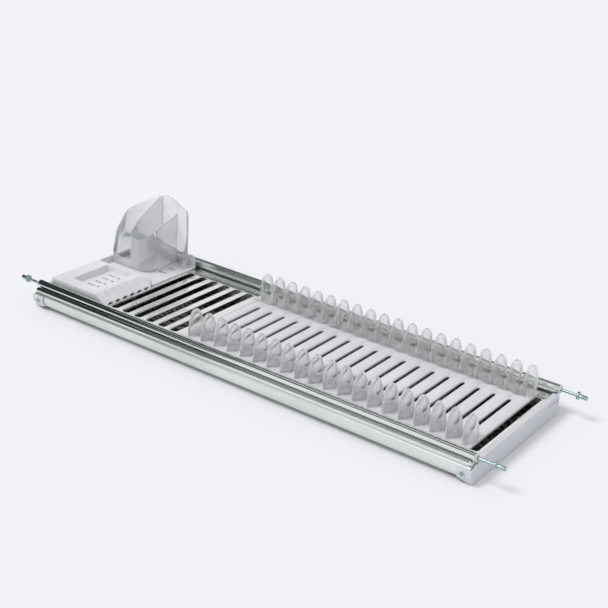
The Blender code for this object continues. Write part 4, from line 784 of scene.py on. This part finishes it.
open_cells = within(drain_columns, drain_rows) | within(socket_columns, socket_rows)
faces = quads(len(y), len(x))[~open_cells.reshape(-1)]
make_piece("cutlery_tray_moulded", spot(grid_x, grid_y, z), faces, tray_plastic, "cutlery_tray",
           ("cutlery_tray",), thickness=1.4, smooth=50)
hook_turn = np.radians(np.linspace(0, 180, 21))
hook = np.concatenate((((104.0, TOP - 1.0), (116.6, TOP - 1.0)),
                       np.stack((110.3 + 6.3 * np.cos(hook_turn), 13.3 + 3.2 * np.sin(hook_turn)), axis=-1)))
count = len(hook)
points = spot(hook[None, :, 0], np.array((TRAY_Y[1] - 3.3, TRAY_Y[1] - 0.9))[:, None], hook[None, :, 1])
make_piece("cutlery_tray_hook", points, quads(2, count, loop_columns=True), tray_plastic, "cutlery_tray",
           caps=(range(count), range(count, 2 * count)), bevel=0.5)
print("drain cells left out:", int(open_cells.sum()))

# %% [markdown]
# ## The cutlery cup
# A tall petal runs round the left and the back, and a lower cup stands in front of it. Each is a wall that follows a
# path in plan, and its rim is a smooth curve over the share of the path's length. The rim itself is half a circle.

# %% Cup
CUP_WALL = 1.8
cup_left, cup_wing = 10.4, 107.6
cup_front = socket_front + 23.8 + CUP_WALL / 2
cup_back = socket_back - 0.6 - 0.4 - CUP_WALL / 2
low_front = cup_front + 1.2
inner_right = 81.0
CUP_BOTTOM = FLOOR + 0.3
petal = np.concatenate((
    ((50.45, low_front),), arc((cup_left + 5, low_front + 5), 5, 270, 180, 10),
    arc((cup_left + 20, cup_back - 20), 20, 180, 90, 22), arc((cup_wing - 8, cup_back - 8), 8, 90, 0, 14),
    ((cup_wing, cup_back - 14.0),)))
inner_cup = np.concatenate((((50.0, cup_back),), arc((53.0, cup_front + 3), 3, 180, 270, 8),
                            arc((66.0, cup_front + 20), 20, 270, 360, 22), ((inner_right, cup_back),)))
# each rim as pairs: the share of the path's length and the rim's height there
PETAL_RIM = ((0.0, 12.0), (0.14, 12.0), (0.185, 16.5), (0.208, 30.0), (0.230, 48.0), (0.27, 58.8), (0.332, 74.0),
             (0.44, 79.0), (0.505, 83.0), (0.58, 91.0), (0.632, 98.0), (0.675, 101.2), (0.742, 102.9), (0.80, 99.0),
             (0.851, 93.0), (0.895, 89.0), (0.92, 85.5), (0.936, 78.0), (0.952, 64.0), (0.972, 40.0), (1.0, 20.0))
INNER_RIM = ((0.0, 99.0), (0.055, 97.5), (0.095, 94.0), (0.174, 86.9), (0.306, 74.3), (0.366, 65.7), (0.413, 58.3),
             (0.442, 52.0), (0.477, 49.7), (0.506, 49.5), (0.553, 52.0), (0.611, 58.0), (0.687, 66.5), (0.80, 70.5),
             (0.90, 74.0), (1.0, 78.0))


def even_path(path, step_mm):
    """The path with points at even distances, found by its length measured along it."""
    length = np.concatenate(([0.0], np.cumsum(np.linalg.norm(np.diff(path, axis=0), axis=1))))
    at = np.unique(np.concatenate((length, np.arange(0, length[-1], step_mm))))
    at = at[np.concatenate(([True], np.diff(at) > 0.2))]
    return np.stack((np.interp(at, length, path[:, 0]), np.interp(at, length, path[:, 1])), axis=-1), at / length[-1]


def upright_wall(path, rim, wall, bottom):
    """Wall along a path with a half-round rim: across the wall, z = rim - r (1 - sqrt(1 - (s / r)^2))."""
    path, share_along = even_path(path, 1.5)
    table = np.asarray(rim)
    top = through(table[:, 0], table[:, 1], share_along)
    r = wall / 2
    s = r * np.array((-1, -1, -0.87, -0.5, 0, 0.5, 0.87, 1, 1))
    z = top[:, None] - r * (1 - np.sqrt(np.clip(1 - (s / r) ** 2, 0, 1)))[None, :]
    z[:, 0] = bottom
    z[:, -1] = bottom
    across = path[:, None, :] + sideways(path)[:, None, :] * s[None, :, None]
    rows = len(path)
    return (spot(across[..., 0], across[..., 1], z), quads(rows, SECTION, loop_columns=True),
            (range(SECTION), range((rows - 1) * SECTION, rows * SECTION)))


for name, path, rim in (("petal", petal, PETAL_RIM), ("inner", inner_cup, INNER_RIM)):
    points, faces, caps = upright_wall(path, rim, CUP_WALL, CUP_BOTTOM + 0.2)
    make_piece(f"cutlery_cup_{name}", points, faces, cup_plastic, "cutlery_cup",
               ("cutlery_cup",) if name == "petal" else (), caps, 60)
print("petal points:", len(petal))

# %% [markdown]
# ## The cup's floor
# A thin floor closes the cup's foot. It could be a cut block, but an outline carried up by 2 mm, with one face below
# and one above, is all that it takes.

# %% Cup floor
corner = arc((66.0, cup_front + 20), 19.6, 270, 352, 18)
floor_outline = np.concatenate((
    ((51.0, cup_front + 0.4),), ((51.0, low_front + 0.4),), arc((cup_left + 5, low_front + 5), 4.6, 270, 180, 8),
    arc((cup_left + 20, cup_back - 20), 19.6, 180, 90, 16), ((inner_right, cup_back - 0.4),), corner[::-1]))
count = len(floor_outline)
levels = np.array((CUP_BOTTOM, CUP_BOTTOM + 2.0))[:, None]
points = spot(floor_outline[None, :, 0], floor_outline[None, :, 1], levels)
make_piece("cutlery_cup_floor", points, quads(2, count, loop_columns=True), cup_plastic, "cutlery_cup",
           caps=(range(count), range(count, 2 * count)), bevel=0.3)
print("floor outline points:", count)

# %% [markdown]
# ## End panels and screws
# These keep the CAD model's shape. Their loose triangles are joined and their edges get a small rounding, because
# no moulded or headed part has a razor edge, and the rounding is what catches the light.

# %% Materials for the CAD pieces
DRESSED = {"end_panel": (panel_plastic, "pale_plastic", 0.00035), "screw": (zinc, "zinc", 0.0001)}
for name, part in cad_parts.items():
    kind = next((kind for kind in DRESSED if name.startswith(kind)), None)
    if kind is None:
        continue
    material, slot, width = DRESSED[kind]
    part.data.materials.clear()
    part.data.materials.append(material)
    weld = part.modifiers.new("join", "WELD")
    weld.merge_threshold = 1e-5
    rounding = part.modifiers.new("edge", "BEVEL")
    rounding.width = width
    rounding.segments = 2
    rounding.limit_method = "ANGLE"
    rounding.angle_limit = math.radians(40)
    print("dressed:", name)

# %% [markdown]
# ## Floor and flags
# The object stands on a plain pale floor. Chrome has no colour of its own and shows what stands round it, so the
# studio has dark flags, as a photographer sets them up: panels out of the camera's sight that give the tubes their
# dark stripes. They could be painted on the metal, but then the stripes would not move with the view.

# %% Studio


def studio_material(name, colour, roughness):
    """A plain matt surface, for the floor and the flags."""
    return start_material(name, colour, 0.0, roughness, Specular_IOR_Level=0.1)[0]


def card(name, middle, towards, width, height, material):
    """A flat panel facing a point: its middle, and two steps across at right angles to the direction."""
    middle, towards = Vector(middle), Vector(towards)
    facing = (towards - middle).to_track_quat("Z", "Y").to_matrix()
    steps = ((-1, -1), (1, -1), (1, 1), (-1, 1))
    corners = [middle + facing @ Vector((a * width / 2, b * height / 2, 0)) for a, b in steps]
    mesh = bpy.data.meshes.new(name)
    mesh.from_pydata([tuple(corner) for corner in corners], [], [(0, 1, 2, 3)])
    mesh.materials.append(material)
    panel = bpy.data.objects.new(name, mesh)
    bpy.context.scene.collection.objects.link(panel)
    return panel


floor_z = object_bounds()[0][2] - 0.0005
card("floor", (0.0, 3.0, floor_z), (0.0, 3.0, 5.0), 40.0, 40.0, studio_material("pale_floor", "#F1F2F5", 0.9))
flag = studio_material("dark_flag_cloth", "#353E3B", 0.95)
# each flag: its name, its middle and the point that it faces in metres, its width and its height
FLAGS = (("flag_left", (-3.0, -0.3, 1.7), (0.0, -0.3, 1.7), 5.6, 3.4),
         ("flag_front_low", (-1.9, -1.5, 0.5), (-1.9, 0.0, 0.5), 1.8, 0.85),
         ("flag_front_left", (-2.1, -0.85, 1.6), (-2.1, 0.0, 0.03), 1.8, 1.4),
         ("flag_front_right", (-0.2, -0.85, 1.6), (-0.2, 0.0, 0.03), 2.0, 1.15),
         ("flag_back_left", (-2.1, 0.8, 1.72), (-2.1, 0.0, 0.03), 1.8, 1.7),
         ("flag_back_right", (-0.2, 0.8, 1.72), (-0.2, 0.0, 0.03), 2.0, 1.3),
         ("flag_behind", (-0.3, 0.22, 0.05), (-0.3, 0.0, 0.05), 1.4, 0.1))
for name, middle, towards, width, height in FLAGS:
    panel = card(name, middle, towards, width, height, flag)
    panel.visible_camera = False
    panel.visible_shadow = False
    panel.visible_diffuse = False
    panel.visible_transmission = False
print("flags:", len(FLAGS))

# %% [markdown]
# ## The room's light
# A world of one pale colour lights every side alike. Where the camera, a mirror or clear plastic looks straight at it,
# it has its full strength, and elsewhere a little less, so that the soft lamp still shapes the object. The lamp is a
# sun with a wide angle, whose shadow has no hard edge.

# %% World and lamp
world = bpy.data.worlds.new("pale_room")
world.use_nodes = True
bpy.context.scene.world = world
rays = add_node(world, "ShaderNodeLightPath")
seen = rays.outputs["Is Camera Ray"]
for ray in ("Is Glossy Ray", "Is Transmission Ray"):
    seen = add_node(world, "ShaderNodeMath", {0: seen, 1: rays.outputs[ray]}, operation="MAXIMUM").outputs[0]
strength = add_node(world, "ShaderNodeMapRange", {"Value": seen, "To Min": 0.7, "To Max": 1.0})
background = world.node_tree.nodes["Background"]
background.inputs["Color"].default_value = linear("#F9FAFB")
world.node_tree.links.new(strength.outputs["Result"], background.inputs["Strength"])
sun = bpy.data.lights.new("soft_key", "SUN")
sun.energy = 1.3
sun.angle = math.radians(22)
sun_object = bpy.data.objects.new("soft_key", sun)
shines_along = Vector((0.4, 0.5, -1.0))
sun_object.matrix_world = shines_along.to_track_quat("-Z", "Y").to_matrix().to_4x4()
bpy.context.scene.collection.objects.link(sun_object)

print("world and lamp:", world.name, sun_object.name)

# %% [markdown]
# ## The camera
# It stands where the photograph's stood: the angles, the place and the lens were found from the photograph's
# perspective. Its three directions are worked out from the angles and put into one matrix.

# %% Camera
azimuth, elevation, roll = (math.radians(angle) for angle in (34.545, 23.972, 3.89))
back = Vector((math.sin(azimuth) * math.cos(elevation), -math.cos(azimuth) * math.cos(elevation), math.sin(elevation)))
level = Vector((math.cos(azimuth), math.sin(azimuth), 0.0))
upright = back.cross(level)
right = level * math.cos(roll) + upright * math.sin(roll)
up = upright * math.cos(roll) - level * math.sin(roll)
turned_to = Matrix((right, up, back)).transposed().to_4x4()
camera_data = bpy.data.cameras.new("camera")
camera_data.lens = 71.2
camera_data.sensor_width = 36.0
camera = bpy.data.objects.new("camera", camera_data)
camera.matrix_world = Matrix.Translation((0.888, -1.2429, 0.7615)) @ turned_to
bpy.context.scene.collection.objects.link(camera)
bpy.context.scene.camera = camera
bpy.context.scene.view_settings.view_transform = "Standard"
print("camera distance:", round(camera.matrix_world.translation.length, 3), "m")
